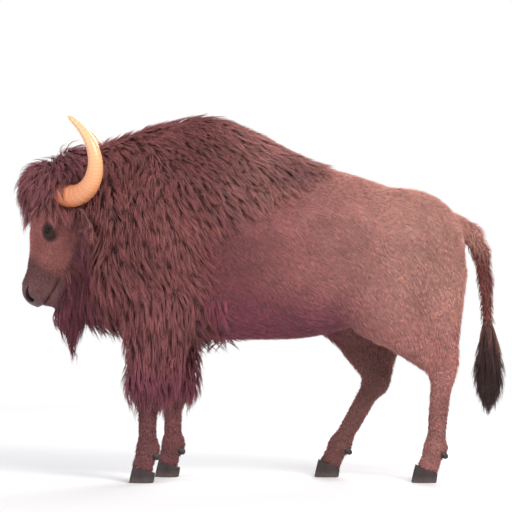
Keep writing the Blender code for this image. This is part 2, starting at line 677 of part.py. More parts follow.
def main():
    for old in list(bpy.data.objects):
        bpy.data.objects.remove(old)
    dark = make_material("dark_coat", (0.100, 0.045, 0.036), 0.75)
    light = make_material("light_coat", (0.300, 0.150, 0.105), 0.75)
    black = make_material("tuft_coat", (0.035, 0.022, 0.020), 0.75)
    horn = make_material("horn", (0.700, 0.420, 0.220), 0.40)
    hoof = make_material("hoof", (0.060, 0.045, 0.038), 0.50)
    eye = make_material("eye", (0.020, 0.012, 0.010), 0.08)

    def coat_material(name):
        if name in ("tail_tuft", "beard"):
            return black
        return light if name.startswith(("rump", "barrel", "hindleg", "tail")) else dark

    body = thinned_body(dark)
    trim_feet(body)
    pieces = part_body(body, coat_material)
    for side, name in SIDE_NAMES.items():
        set_in(pieces["head"], add_object(f"horn_{name}", horn_mesh(side), horn))
        set_in(pieces["head"], add_object(f"ear_{name}", ear_mesh(side), dark))
        set_in(pieces["head"], add_object(f"eye_{name}", eye_mesh(side), eye))
    for leg, side, foot_x, fetlock in foot_places():
        for outward, word in ((side, "outer"), (-side, "inner")):
            add_object(f"{leg}_claw_{word}", claw_mesh(foot_x, fetlock[1], outward), hoof)
            dewclaw = add_object(f"{leg}_dewclaw_{word}", dewclaw_mesh(fetlock, outward), hoof)
            set_in(pieces[f"{leg}_lower"], dewclaw)
    centre_on_origin()


def centre_on_origin():
    """Moves the animal so that the origin is at the middle of its box, on the floor."""
    solids = list(bpy.context.scene.collection.objects)
    corners = np.array([vertex.co for solid in solids for vertex in solid.data.vertices])
    middle = (corners.min(axis=0) + corners.max(axis=0)) / 2
    for solid in solids:
        solid.data.transform(Matrix.Translation((-middle[0], 0, 0)))


if __name__ == "__main__":
    main()
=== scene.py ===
"""The looks of a life-size standing wisent bull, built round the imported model.

One skin stands for all the flesh, and a coat of closed mesh hairs, gathered in locks, lies over it.
Horns, eyes and hooves are finer copies of their solids. Metres; the animal faces -X, its left side
is -Y and +Z is up. Shapes are worked out in the frame in which the stations and joints below are
given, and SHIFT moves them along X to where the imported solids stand.
"""

import math
from typing import NamedTuple

import bmesh
import bpy
import numpy as np
from mathutils import Matrix, Vector
from mathutils.bvhtree import BVHTree


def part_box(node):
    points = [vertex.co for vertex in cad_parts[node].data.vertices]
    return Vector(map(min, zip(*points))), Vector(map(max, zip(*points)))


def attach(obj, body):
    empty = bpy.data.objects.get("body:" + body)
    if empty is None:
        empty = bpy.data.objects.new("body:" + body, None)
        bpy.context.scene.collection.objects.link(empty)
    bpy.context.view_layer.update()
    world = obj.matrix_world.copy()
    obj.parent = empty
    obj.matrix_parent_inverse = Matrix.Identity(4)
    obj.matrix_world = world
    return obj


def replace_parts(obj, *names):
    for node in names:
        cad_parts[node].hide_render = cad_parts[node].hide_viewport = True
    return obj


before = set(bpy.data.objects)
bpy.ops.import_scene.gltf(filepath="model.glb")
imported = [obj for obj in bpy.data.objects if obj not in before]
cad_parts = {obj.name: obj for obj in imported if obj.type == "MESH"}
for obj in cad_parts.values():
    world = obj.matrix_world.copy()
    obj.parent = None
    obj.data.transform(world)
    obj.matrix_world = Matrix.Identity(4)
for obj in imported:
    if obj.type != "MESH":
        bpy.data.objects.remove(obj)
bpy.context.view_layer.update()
random = np.random.default_rng(7)

# ---------------------------------------------------------------- driving dimensions
LEFT, RIGHT = -1, 1
SIDE_NAMES = {LEFT: "left", RIGHT: "right"}

# Trunk stations: x, top, bottom, half width, and how much the upper part narrows.
TRUNK = {
    "chest": (-0.72, 1.640, 0.830, 0.255, 0.40),
    "shoulder": (-0.52, 1.775, 0.755, 0.325, 0.54),
    "hump": (-0.31, 1.820, 0.725, 0.350, 0.60),
    "withers": (-0.05, 1.730, 0.715, 0.350, 0.56),
    "back": (0.20, 1.600, 0.725, 0.340, 0.42),
    "loin": (0.45, 1.528, 0.785, 0.310, 0.28),
    "croup": (0.70, 1.440, 0.870, 0.282, 0.20),
}
FRONT_CAP, REAR_CAP = 0.16, 0.285   # how far the rounded ends reach past the stations
EGG = 2.25                          # exponent of the trunk's rounded section
LEAST_WIDTH = 0.2                   # share of the width kept above the ridge of the back

# Head frame: from the poll along the nose, sideways, and out of the brow.
POLL = np.array([-1.045, 0.0, 1.505])
HEAD_DROP = math.radians(68)
HEAD_SCALE = 1.07
NOSEWARD = np.array([-math.cos(HEAD_DROP), 0.0, -math.sin(HEAD_DROP)])
BROWWARD = np.array([-math.sin(HEAD_DROP), 0.0, math.cos(HEAD_DROP)])

# Leg joints. A foreleg hangs from the elbow; its foot's x sets the rest.
FORE_Y, HIND_Y = 0.175, 0.165
ELBOW_X, ELBOW_Z = -0.515, 0.900
KNEE_Z, FETLOCK_Z, CORONET_Z = 0.475, 0.165, 0.072
FORE_FOOT_X = {LEFT: -0.615, RIGHT: -0.500}
HIND_JOINTS = {
    LEFT: {"hip": (0.66, 1.18), "stifle": (0.520, 0.84), "hock": (0.872, 0.560),
           "fetlock": (0.836, 0.170), "foot": (0.795, 0.060)},
    RIGHT: {"hip": (0.64, 1.18), "stifle": (0.350, 0.83), "hock": (0.560, 0.505),
            "fetlock": (0.370, 0.165), "foot": (0.318, 0.060)},
}

TAIL = ((0.955, 1.280), (1.035, 1.235), (1.080, 1.150), (1.102, 1.000), (1.112, 0.780))
TAIL_RADII = (0.056, 0.044, 0.035, 0.027, 0.020)

# Places on the head are in the head frame, unscaled, on the right side.
EYE_SPOT, EAR_SPOT, HORN_SPOT = (0.235, 0.146, -0.050), (0.125, 0.160, -0.140), (0.050, 0.100, -0.030)
EAR_LENGTH, EAR_WIDTH, EAR_THICKNESS = 0.190, 0.092, 0.009
EAR_ALONG, EAR_FACING = (0.42, 0.84, -0.26), (-0.80, 0.50, -0.10)
HORN_STEPS = ((0, 0, 0), (0.17, 0.19, -0.08), (0.29, 0.30, 0.20), (0.045, 0.175, 0.380))
HORN_BASE_RADIUS, HORN_TIP_RADIUS, HORN_TAPER = 0.060, 0.007, 0.62

CLAW_LENGTH, CLAW_WIDTH, CLAW_GAP = 0.122, 0.060, 0.007
CORONET_TILT = -20.0      # degrees: the hoof is taller in front
CORONET_RISE = 0.058      # height of the coronet at the foot's middle

# How far the tips of the coat stand off the skin. The neck and the cape add to the flank.
FLANK_DEPTH, CAPE_DEPTH, NECK_DEPTH, SHANK_DEPTH = 0.020, 0.024, 0.020, 0.010
FACE_DEPTH, BARE_LOSS = 0.012, 0.009   # on the face, and how much less on muzzle and eyelids
HAIR_CORE = 0.042         # depth of the locks that hang over the felted core of the long hair

FAR = 9.0                 # distance given where no shape is near
REACH = 0.26              # how far round a shape its distance is worked out
SKIN_STEP = 0.015         # spacing of the grid that the skin is read from


# ---------------------------------------------------------------- shapes as distance fields
def head_point(along, side, out):
    """A place in the head frame, in the animal's own frame."""
    place = POLL + HEAD_SCALE * (along * NOSEWARD + out * BROWWARD)
    return np.array([place[0], side * HEAD_SCALE, place[2]])


def head_spot(spot, side):
    """The place of a spot on the head's right side, or of its mirror image on the left."""
    return head_point(spot[0], spot[1] * side, spot[2])


def in_head_frame(points):
    """Each place along the nose, sideways and out of the brow."""
    away = (points - POLL) / HEAD_SCALE
    return np.stack([away @ NOSEWARD, away[:, 1], away @ BROWWARD], axis=1)


def smooth_min(a, b, blend):
    """The lower value, with a fillet as wide as the blend."""
    share = np.clip(0.5 + 0.5 * (b - a) / blend, 0, 1)
    return b + (a - b) * share - blend * share * (1 - share)


def ramp(value, start, end):
    """0 before start, 1 after end, and smooth between."""
    t = np.clip((value - start) / (end - start), 0, 1)
    return t * t * (3 - 2 * t)


def fall(value, start, end):
    """1 before start, 0 after end, and smooth between."""
    return 1 - ramp(value, start, end)


def through(x, stations, values):
    """A smooth curve through the stations, level past the first and last."""
    slopes = np.gradient(values, stations)
    x = np.clip(x, stations[0], stations[-1])
    i = np.clip(np.searchsorted(stations, x) - 1, 0, len(stations) - 2)
    span = stations[i + 1] - stations[i]
    t = (x - stations[i]) / span
    rise = t * t * (3 - 2 * t)
    return (values[i] + (values[i + 1] - values[i]) * rise
            + span * (t * (1 - t) ** 2 * slopes[i] - t * t * (1 - t) * slopes[i + 1]))


def ellipsoid(centre, radii, tilt=0.0, blend=0.06, mirror=False):
    """An ellipsoid whose +X end is lifted by tilt degrees. A mirrored one also stands at -y."""
    turn = math.radians(tilt)
    rearward = np.array([math.cos(turn), 0, math.sin(turn)])
    upward = np.array([-math.sin(turn), 0, math.cos(turn)])
    centre, radii = np.array(centre, float), np.array(radii, float)

    def distance(points):
        """Distance to the ellipsoid."""
        away = points - centre
        if mirror:
            away[:, 1] = np.abs(points[:, 1]) - centre[1]
        local = np.stack([away @ rearward, away[:, 1], away @ upward], axis=1)
        share = np.linalg.norm(local / radii, axis=1)
        slope = np.linalg.norm(local / radii ** 2, axis=1)
        return share * (share - 1) / np.maximum(slope, 1e-9)

    low, high = centre - radii.max(), centre + radii.max()
    if mirror:
        low[1] = -high[1]
    return distance, low, high, blend


def bone(start, end, start_radius, end_radius, flat=1.0, blend=0.05):
    """A tapered round rod between two points, flat times as wide (y) as it is deep."""
    start, end = np.array(start, float), np.array(end, float)
    run = (end - start)[[0, 2]]

    def distance(points):
        """Distance to the rod."""
        away = points[:, [0, 2]] - start[[0, 2]]
        t = np.clip(away @ run / max(run @ run, 1e-9), 0, 1)
        off = away - t[:, None] * run
        side = (points[:, 1] - start[1] - (end[1] - start[1]) * t) / flat
        radius = np.sqrt((off ** 2).sum(1) + side ** 2)
        return radius - start_radius - (end_radius - start_radius) * t

    widest = max(start_radius, end_radius)
    return distance, np.minimum(start, end) - widest, np.maximum(start, end) + widest, blend


def trunk():
    """The barrel of the body: a rounded section that changes smoothly along the stations."""
    rows = np.array(list(TRUNK.values()))
    stations = rows[:, 0]
    first, last = stations[0], stations[-1]

    def distance(points):
        """Distance to the barrel."""
        x = points[:, 0]
        top, bottom, width, pinch = (through(x, stations, rows[:, i]) for i in range(1, 5))
        cap = np.where(x < first, FRONT_CAP, REAR_CAP)
        beyond = np.maximum(np.maximum(first - x, x - last), 0) / cap
        height = (top - bottom) / 2
        t = (points[:, 2] - (top + bottom) / 2) / height
        width = width * np.maximum(1 - pinch * np.maximum(t, 0) ** 1.5, LEAST_WIDTH)
        across, up = np.abs(points[:, 1]) / width, np.abs(t)
        size = np.maximum((across ** EGG + up ** EGG + beyond ** EGG) ** (1 / EGG), 1e-6)
        slopes = [(share / size) ** (EGG - 1) / over
                  for share, over in ((across, width), (up, height), (beyond, cap))]
        return (size - 1) / np.sqrt(sum(slope ** 2 for slope in slopes))

    low = np.array([first - FRONT_CAP, -rows[:, 3].max(), rows[:, 2].min()])
    high = np.array([last + REAR_CAP, rows[:, 3].max(), rows[:, 1].max()])
    return distance, low, high, 0.06


def foreleg(side):
    """Shoulder, upper arm, forearm, knee, cannon, fetlock and pastern."""
    foot_x, y = FORE_FOOT_X[side], side * FORE_Y
    elbow = (ELBOW_X, y + 0.02 * side, ELBOW_Z)
    knee = (foot_x + 0.012, y, KNEE_Z)
    fetlock = (foot_x + 0.016, y, FETLOCK_Z)
    return [
        ellipsoid((-0.50, side * 0.215, 1.20), (0.19, 0.115, 0.36), -14, 0.10),
        bone((-0.665, side * 0.19, 1.06), elbow, 0.145, 0.120, 0.80, 0.08),
        bone(elbow, knee, 0.112, 0.060, 0.86, 0.06),
        ellipsoid((knee[0] - 0.006, y, KNEE_Z), (0.062, 0.054, 0.070), blend=0.03),
        bone(knee, fetlock, 0.047, 0.041, 0.88, 0.03),
        ellipsoid((fetlock[0] + 0.004, y, FETLOCK_Z + 0.004), (0.056, 0.050, 0.048), blend=0.03),
        bone(fetlock, (foot_x - 0.012, y, CORONET_Z), 0.044, 0.052, 1.0, 0.025),
    ]


def hindleg(side):
    """Haunch, gaskin, hamstring, point of the hock, hock, cannon, fetlock and pastern."""
    y = side * HIND_Y
    (hip_x, hip_z), (stifle_x, stifle_z), (hock_x, hock_z), (fet_x, fet_z), (foot_x, foot_z) = (
        HIND_JOINTS[side].values())
    haunch = (hip_x + 0.02, side * 0.150, hip_z + 0.01)
    stifle = (stifle_x + 0.05, side * 0.185, stifle_z + 0.03)
    hamstring = ((hip_x + hock_x) / 2 + 0.075, y, 1.00)
    hock, fetlock = (hock_x, y, hock_z), (fet_x, y, fet_z)
    heel = (hock_x + 0.040, y, hock_z + 0.065)
    return [
        bone(haunch, stifle, 0.265, 0.155, 0.54, 0.10),
        bone(stifle, (hock_x - 0.01, y, hock_z + 0.02), 0.152, 0.064, 0.66, 0.06),
        bone(hamstring, heel, 0.150, 0.032, 0.60, 0.08),
        bone(heel, (hock_x + 0.012, y, hock_z - 0.05), 0.031, 0.036, 0.85, 0.025),
        ellipsoid(hock, (0.060, 0.052, 0.075), blend=0.03),
        bone(hock, fetlock, 0.051, 0.042, 0.82, 0.03),
        ellipsoid((fet_x + 0.004, y, fet_z + 0.004), (0.057, 0.050, 0.048), blend=0.03),
        bone(fetlock, (foot_x + 0.006, y, foot_z + 0.015), 0.044, 0.052, 1.0, 0.025),
    ]


def forearm_hair(side):
    """The hair that hangs round one forearm."""
    knee = (FORE_FOOT_X[side] + 0.030, side * FORE_Y, 0.47)
    return bone((ELBOW_X - 0.020, side * 0.200, 0.90), knee, 0.210, 0.142, 0.72, 0.06)


def beard_hair():
    """The hair that hangs from the chin and from under the jaw."""
    chin_x, _, chin_z = head_point(0.46, 0, -0.185)
    lip = (chin_x + 0.035, 0, chin_z - 0.14)
    return [
        bone((chin_x + 0.02, 0, chin_z + 0.02), lip, 0.098, 0.088, 0.66, 0.05),
        bone(lip, (chin_x + 0.055, 0, chin_z - 0.30), 0.088, 0.024, 0.66, 0.05),
        bone(head_point(0.30, 0, -0.24), (-0.92, 0, 0.92), 0.090, 0.060, 0.66, 0.05),
    ]


def union(shapes, points):
    """Distance to the shapes joined one after another, each with its own blend."""
    found = np.full(len(points), FAR)
    for distance, low, high, blend in shapes:
        near = np.all((points > low - REACH) & (points < high + REACH), axis=1)
        if near.any():
            found[near] = smooth_min(found[near], distance(points[near]), blend)
    return found


NECK = [
    bone((-0.60, 0, 1.35), (-0.92, 0, 1.37), 0.370, 0.215, 0.66, 0.12),
    bone((-0.62, 0, 1.02), (-0.90, 0, 1.20), 0.215, 0.135, 0.80, 0.10),
    bone((-0.62, 0, 1.52), (-0.98, 0, 1.46), 0.195, 0.135, 0.75, 0.10),
]
TAIL_SHAPES = [bone((x0, 0, z0), (x1, 0, z1), r0, r1, 1.0, 0.03)
               for (x0, z0), (x1, z1), r0, r1 in zip(TAIL, TAIL[1:], TAIL_RADII, TAIL_RADII[1:])]
FLESH = [trunk(), *NECK, *foreleg(LEFT), *foreleg(RIGHT), *hindleg(LEFT), *hindleg(RIGHT), *TAIL_SHAPES]
# Cranium, brow, eye arches, cheeks, bridge of the nose, muzzle, nostril wings, jaw, chin and throat.
HEAD = [
    ellipsoid((0.085, 0, -0.070), (0.150, 0.138, 0.130), blend=0.04),
    ellipsoid((0.170, 0, -0.020), (0.150, 0.122, 0.072), blend=0.05),
    ellipsoid((0.215, 0.118, -0.052), (0.062, 0.040, 0.048), blend=0.035, mirror=True),
    ellipsoid((0.245, 0.072, -0.165), (0.135, 0.052, 0.098), 14, 0.05, mirror=True),
    bone((0.200, 0, -0.075), (0.485, 0, -0.092), 0.118, 0.074, 0.92, 0.05),
    ellipsoid((0.510, 0, -0.095), (0.082, 0.088, 0.078), blend=0.035),
    ellipsoid((0.530, 0.052, -0.066), (0.042, 0.036, 0.036), blend=0.025, mirror=True),
    bone((0.250, 0, -0.215), (0.500, 0, -0.172), 0.070, 0.048, 0.85, 0.04),
    ellipsoid((0.505, 0, -0.170), (0.050, 0.056, 0.040), blend=0.03),
    ellipsoid((0.060, 0, -0.180), (0.120, 0.125, 0.150), blend=0.06),
]
# The mop over the brow, the tuft on the crown and the hair round the ears.
BROW_HAIR = [
    ellipsoid((0.065, 0, 0.060), (0.150, 0.150, 0.130), blend=0.05),
    ellipsoid((-0.040, 0, -0.045), (0.115, 0.140, 0.130), blend=0.05),
    ellipsoid((-0.130, 0, -0.020), (0.075, 0.100, 0.085), blend=0.04),
    ellipsoid((0.050, 0.120, -0.130), (0.125, 0.060, 0.110), blend=0.05, mirror=True),
]
BEARD_HAIR = beard_hair()
# The hanging hair of the throat, brisket, belly, forearms, tail and chin.
LONG_HAIR = [
    bone((-0.88, 0, 1.16), (-0.82, 0, 0.88), 0.155, 0.120, 0.75, 0.08),
    bone((-0.82, 0, 0.90), (-0.55, 0, 0.76), 0.130, 0.120, 0.85, 0.08),
    bone((-0.55, 0, 0.76), (-0.15, 0, 0.74), 0.115, 0.060, 1.0, 0.08),
    *(forearm_hair(side) for side in SIDE_NAMES),
    ellipsoid((1.117, 0, 0.590), (0.078, 0.066, 0.230), blend=0.04),
    bone((1.117, 0, 0.50), (1.110, 0, 0.34), 0.060, 0.018, 0.85, 0.05),
    *BEARD_HAIR,
]
HEAD_BLEND, HAIR_BLEND, CORE_BLEND = 0.07, 0.05, 0.04


def head_union(shapes, points):
    """Distance to shapes that are given in the head frame."""
    return HEAD_SCALE * union(shapes, in_head_frame(points))


def bare_skin(points):
    """Distance to the skin, negative inside, as if no long hair hid it."""
    return smooth_min(union(FLESH, points), head_union(HEAD, points), HEAD_BLEND)


def cape_share(points):
    """1 on the long-haired fore part, 0 behind the slanting edge of the cape."""
    edge = -0.33 + 0.62 * ramp(points[:, 2], 1.16, 1.62)
    return fall(points[:, 0] - edge, -0.10, 0.10)


def face_share(points):
    """1 on the short-haired face below the mop, 0 elsewhere."""
    along, _, out = in_head_frame(points).T
    return ramp(along, 0.13, 0.20) * ramp(out, -0.32, -0.24) * ramp(-points[:, 0], 0.86, 0.96)


def coat_depth(points):
    """How far the tips of the coat stand off the skin."""
    x, z = points[:, 0], points[:, 2]
    in_head = in_head_frame(points)
    depth = FLANK_DEPTH + CAPE_DEPTH * cape_share(points)
    depth = depth + NECK_DEPTH * ramp(-x, 0.45, 0.85) * ramp(z, 0.8, 1.1)
    shank = fall(z, 0.42, 0.75)
    depth = depth * (1 - shank) + SHANK_DEPTH * shank
    from_eye = np.linalg.norm((in_head - EYE_SPOT) * (1, 0, 1), axis=1)
    bare = np.maximum(ramp(in_head[:, 0], 0.40, 0.50), fall(from_eye, 0.025, 0.060))
    face = face_share(points)
    return depth * (1 - face) + (FACE_DEPTH - BARE_LOSS * bare) * face


def coat_field(points):
    """Distance to the tips of the coat, negative inside."""
    body = smooth_min(bare_skin(points) - coat_depth(points), union(LONG_HAIR, points), HAIR_BLEND)
    return smooth_min(body, head_union(BROW_HAIR, points), HAIR_BLEND)


def coronet_height(forward):
    """Height of the hoof's upper edge, at a distance in front of the foot's middle."""
    return CORONET_RISE + forward * math.tan(math.radians(-CORONET_TILT))


def foot_places():
    """Foot name, its side, the x and y of its foot and the x and z of its fetlock."""
    for side, name in SIDE_NAMES.items():
        foot_x = FORE_FOOT_X[side]
        yield f"foreleg_{name}", side, foot_x, side * FORE_Y, (foot_x + 0.016, FETLOCK_Z)
    for side, name in SIDE_NAMES.items():
        joints = HIND_JOINTS[side]
        yield f"hindleg_{name}", side, joints["foot"][0], side * HIND_Y, joints["fetlock"]


def trimmed_at_hooves(points, field):
    """The field with the feet cut off along the coronets."""
    low = points[:, 2] < 0.16
    under = points[low]
    trimmed = field[low]
    for _, _, foot_x, foot_y, _ in foot_places():
        here = (np.abs(under[:, 0] - foot_x) < 0.13) & (np.abs(under[:, 1] - foot_y) < 0.09)
        below = coronet_height(foot_x - under[here, 0]) - 0.002 - under[here, 2]
        trimmed[here] = -smooth_min(-trimmed[here], -below, 0.006)
    field = field.copy()
    field[low] = trimmed
    return field


def root_field(points):
    """Distance to the surface that the hair grows from: the skin, and the core of the long hair."""
    hair = smooth_min(union(LONG_HAIR, points), head_union(BROW_HAIR, points), HAIR_BLEND)
    return trimmed_at_hooves(points, smooth_min(bare_skin(points), hair + HAIR_CORE, CORE_BLEND))


# ---------------------------------------------------------------- the fields on a grid
GRID_LOW, GRID_HIGH = np.array([-1.42, -0.50, 0.00]), np.array([1.32, 0.50, 1.94])
BLOCK = 8                  # grid steps in a block, which is skipped where no surface is near
CORNERS = [(i, j, k) for i in (0, 1) for j in (0, 1) for k in (0, 1)]
STEP_ALONG = np.eye(3, dtype=int)


def lattice(*axes):
    """All places of a grid, given by its axes, as rows."""
    return np.stack(np.meshgrid(*axes, indexing="ij"), -1).reshape(-1, 3)


def near_grids():
    """The root field and the coat field on one grid. Away from the surface only the sign is right."""
    block = SKIN_STEP * BLOCK
    blocks = np.ceil((GRID_HIGH - GRID_LOW) / block).astype(int)
    axes = (low + block * (np.arange(count) + 0.5) for low, count in zip(GRID_LOW, blocks))
    at_centre = root_field(lattice(*axes))
    far_values = np.where(at_centre < 0, -FAR, FAR).reshape(blocks)
    for axis in range(3):
        far_values = np.repeat(far_values, BLOCK, axis)
    roots = np.pad(far_values, ((0, 1),) * 3, mode="edge")
    tips = roots.copy()
    near = np.argwhere(np.abs(at_centre).reshape(blocks) < block * 1.6)
    inner = lattice(*(np.arange(BLOCK + 1),) * 3)
    nodes = np.unique((near[:, None, :] * BLOCK + inner[None]).reshape(-1, 3), axis=0)
    places = GRID_LOW + nodes * SKIN_STEP
    roots[tuple(nodes.T)] = root_field(places)
    tips[tuple(nodes.T)] = coat_field(places)
    return roots, tips


def surface_net(values):
    """Points and quads of the zero surface: one point for each grid cell that it crosses."""
    inside = values < 0
    shape = np.array(values.shape) - 1
    held = sum(inside[tuple(slice(c, c + n) for c, n in zip(corner, shape))].astype(int)
               for corner in CORNERS)
    crossed = (held > 0) & (held < len(CORNERS))
    cells = np.argwhere(crossed)
    number = np.full(crossed.shape, -1)
    number[crossed] = np.arange(len(cells))
    place, count = np.zeros((len(cells), 3)), np.zeros(len(cells))
    for corner in CORNERS:
        for axis in range(3):
            if corner[axis]:
                continue
            start = values[tuple((cells + corner).T)]
            end = values[tuple((cells + corner + STEP_ALONG[axis]).T)]
            cuts = (start < 0) != (end < 0)
            share = np.clip(np.where(cuts, start / np.where(cuts, start - end, 1), 0), 0.02, 0.98)
            place += np.where(cuts[:, None], corner + share[:, None] * STEP_ALONG[axis], 0)
            count += cuts
    points = GRID_LOW + (cells + place / count[:, None]) * SKIN_STEP
    quads = []
    for axis in range(3):
        one, two = (STEP_ALONG[i] for i in range(3) if i != axis)
        start = inside[tuple(slice(0, -1) if i == axis else slice(None) for i in range(3))]
        end = inside[tuple(slice(1, None) if i == axis else slice(None) for i in range(3))]
        edges = np.argwhere(start != end)
        leaves = start[tuple(edges.T)] != (axis == 1)
        ring = np.stack([number[tuple((edges - back).T)] for back in (one + two, two, 0 * one, one)], 1)
        quads.append(np.where(leaves[:, None], ring, ring[:, ::-1]))
    return points, np.concatenate(quads)


def read_grid(values, points):
    """The field between the grid's nodes."""
    place = (points - GRID_LOW) / SKIN_STEP
    cell = np.clip(np.floor(place).astype(int), 0, np.array(values.shape) - 2)
    share = np.clip(place - cell, 0, 1)
    found = np.zeros(len(points))
    for corner in CORNERS:
        weight = np.prod(np.where(corner, share, 1 - share), axis=1)
        found += weight * values[tuple((cell + corner).T)]
    return found


def slope_of(field, points, probe):
    """How fast the field rises along each axis."""
    return np.stack([(field(points + probe * axis) - field(points - probe * axis)) / (2 * probe)
                     for axis in np.eye(3)], axis=1)


def unit(vectors):
    """The vectors at length 1."""
    return vectors / np.maximum(np.linalg.norm(vectors, axis=-1, keepdims=True), 1e-9)


def settled(field, points, passes=2, probe=0.002, most=0.01):
    """The points moved onto the field's zero surface."""
    for _ in range(passes):
        slope = slope_of(field, points, probe)
        move = -(field(points) / np.maximum((slope ** 2).sum(1), 0.05))[:, None] * slope
        length = np.maximum(np.linalg.norm(move, axis=1, keepdims=True), 1e-9)
        points = points + move * np.minimum(1, most / length)
    return points


ROOTS, TIPS = near_grids()


def above_skin(points):
    """Height over the surface that the hair grows from."""
    return read_grid(ROOTS, points)


# ---------------------------------------------------------------- the skin
EYEBALL_RADIUS = 0.0235
EYE_SINK = 0.0030                               # how far the eyeball sits in from its solid's middle
LID_THICKNESS = 0.0036
EYE_HALF_LENGTH, EYE_HALF_HEIGHT = 0.0208, 0.0160
EYE_TAPER, EYE_LOW = 0.20, 0.0012               # the opening narrows forward, and sits low
EYE_LINE = np.array([-0.80, 0.0, -0.60])        # from the rear corner of the eye to the front one
LID_EDGE = 0.0013
# Height, distance from the opening and width of the folds in the upper and the lower lid.
UPPER_FOLDS = ((0.0024, 0.0078, 0.0018), (0.0016, 0.0140, 0.0026))
LOWER_FOLDS = ((0.0014, 0.0070, 0.0016), (0.0016, 0.0135, 0.0024))
NOSTRIL = (0.562, 0.066, -0.082)                # middle of the opening's round end, head frame
NOSTRIL_TAIL = (0.518, 0.088, -0.044)
NOSTRIL_RADII = (0.0165, 0.0045)
NOSTRIL_DEPTH = 0.024
MOUTH_FRONT, MOUTH_CORNER = (0.590, -0.132), (0.415, -0.166)   # along and out, in the head frame
EAR_STEPS, EAR_SIDES = 26, 36


def eye_axes(side):
    """The way the eye looks, the line of its opening and the way up across it."""
    gaze = unit(np.array([-0.36, 0.93 * side, 0.03]))
    along = unit(EYE_LINE - (EYE_LINE @ gaze) * gaze)
    return gaze, along, np.cross(gaze, along) * -side


def eye_centre(side):
    """The middle of the eyeball."""
    return head_spot(EYE_SPOT, side) - EYE_SINK * np.array([0, side, 0])


def eye_distances(points, stretch=(1, 1, 1)):
    """Distance from the middle of each eyeball, with the axes stretched."""
    return [np.linalg.norm((points - eye_centre(side)) * stretch, axis=1) for side in SIDE_NAMES]


def from_eyes(points):
    """Distance from the middle of the nearer eyeball."""
    return np.min(eye_distances(points), axis=0)


def half_opening(u):
    """Half the height between the lids, at shares u of the way from the eye's middle to its corners."""
    return EYE_HALF_HEIGHT * (1 - u ** 2) * (1 - EYE_TAPER * u)


def lid_opening(points, side):
    """Distance from the edge of the lids' opening, negative inside it, and the height across it."""
    gaze, along, across = eye_axes(side)
    away = points - eye_centre(side)
    u, v = (away @ along) / EYE_HALF_LENGTH, away @ across
    return np.where(away @ gaze > 0, np.abs(v + EYE_LOW) - half_opening(u), FAR), v


def lid_edge(points):
    """Distance from the edge of the nearer eye's lids, negative between them."""
    return np.minimum(*(np.where(distance < 0.05, lid_opening(points, side)[0], FAR)
                        for side, distance in zip(SIDE_NAMES, eye_distances(points))))


def groove(distance, width):
    """1 on a line, fading on both sides of it."""
    return np.exp(-(distance / width) ** 2)


def with_lids(points, field):
    """The field with a closed lid over each eyeball and the bone of the brow above it."""
    for side, from_eye in zip(SIDE_NAMES, eye_distances(points)):
        lid = smooth_min(field, from_eye - EYEBALL_RADIUS - LID_THICKNESS, 0.020)
        brow = eye_centre(side) + np.array([0.004, -0.010 * side, 0.034])
        from_brow = np.linalg.norm((points - brow) / (1.5, 0.8, 0.8), axis=1) * 0.9 - 0.020
        field = np.where(from_eye < 0.12, smooth_min(lid, from_brow, 0.020), field)
    return field


def open_lids(points):
    """Sinks the skin behind the eyeball between the lids, and folds it round them."""
    for side in SIDE_NAMES:
        centre = eye_centre(side)
        away = points - centre
        from_eye = np.linalg.norm(away, axis=1)
        edge, v = lid_opening(points, side)
        near = fall(from_eye, 0.040, 0.060) * (edge < 1)
        upper, lower = (sum(height * groove(edge - place, width) for height, place, width in folds)
                        for folds in (UPPER_FOLDS, LOWER_FOLDS))
        rim = -0.0012 * groove(edge - 0.0028, 0.0022)
        radius = from_eye - near * (np.where(v > 0, upper, lower) + rim)
        inside = fall(edge, -LID_EDGE, LID_EDGE)
        radius = radius + (EYEBALL_RADIUS - 0.0020 - radius) * inside
        points = np.where((near > 0)[:, None], centre + unit(away) * radius[:, None], points)
    return points


def mouth_line(points):
    """Height over the line of the mouth, and the share of the way from its corner to its front."""
    along, _, out = in_head_frame(points).T
    (front, front_out), (corner, corner_out) = MOUTH_FRONT, MOUTH_CORNER
    t = (along - corner) / (front - corner)
    return out - (corner_out + (front_out - corner_out) * np.clip(t, 0, 1) - 0.010 * np.sin(3.1 * t)), t


def with_muzzle(points, field):
    """The field with the cleft of the nose and the line of the mouth."""
    along, side, out = in_head_frame(points).T
    line, t = mouth_line(points)
    field = field + 0.0060 * groove(line, 0.0060) * ramp(t, -0.05, 0.10)
    field = field - 0.0035 * groove(line - 0.014, 0.010) * ramp(t, 0.0, 0.3)
    cleft = groove(np.abs(side), 0.0060) * ramp(along, 0.550, 0.575) * ramp(out, -0.13, -0.11)
    return field + 0.0028 * cleft


def nostril_edge(points, side):
    """Distance from the edge of the comma-shaped nostril, negative inside, the share of the way to its
    tail, and the way it faces."""
    start = head_spot(NOSTRIL, side)
    run = head_spot(NOSTRIL_TAIL, side) - start
    outward = unit(0.52 * NOSEWARD + 0.80 * side * np.array([0, 1, 0]) + 0.30 * BROWWARD)
    run = run - (run @ outward) * outward
    away = points - start
    flat = away - (away @ outward)[:, None] * outward
    t = np.clip(flat @ run / (run @ run), 0, 1)
    bend = 0.006 * np.sin(math.pi * t)[:, None] * unit(np.cross(run, outward) * side)
    edge = np.linalg.norm(flat - t[:, None] * run - bend, axis=1)
    edge = edge - NOSTRIL_RADII[0] - (NOSTRIL_RADII[1] - NOSTRIL_RADII[0]) * t
    return np.where(np.linalg.norm(away, axis=1) < 0.075, edge, FAR), t, outward


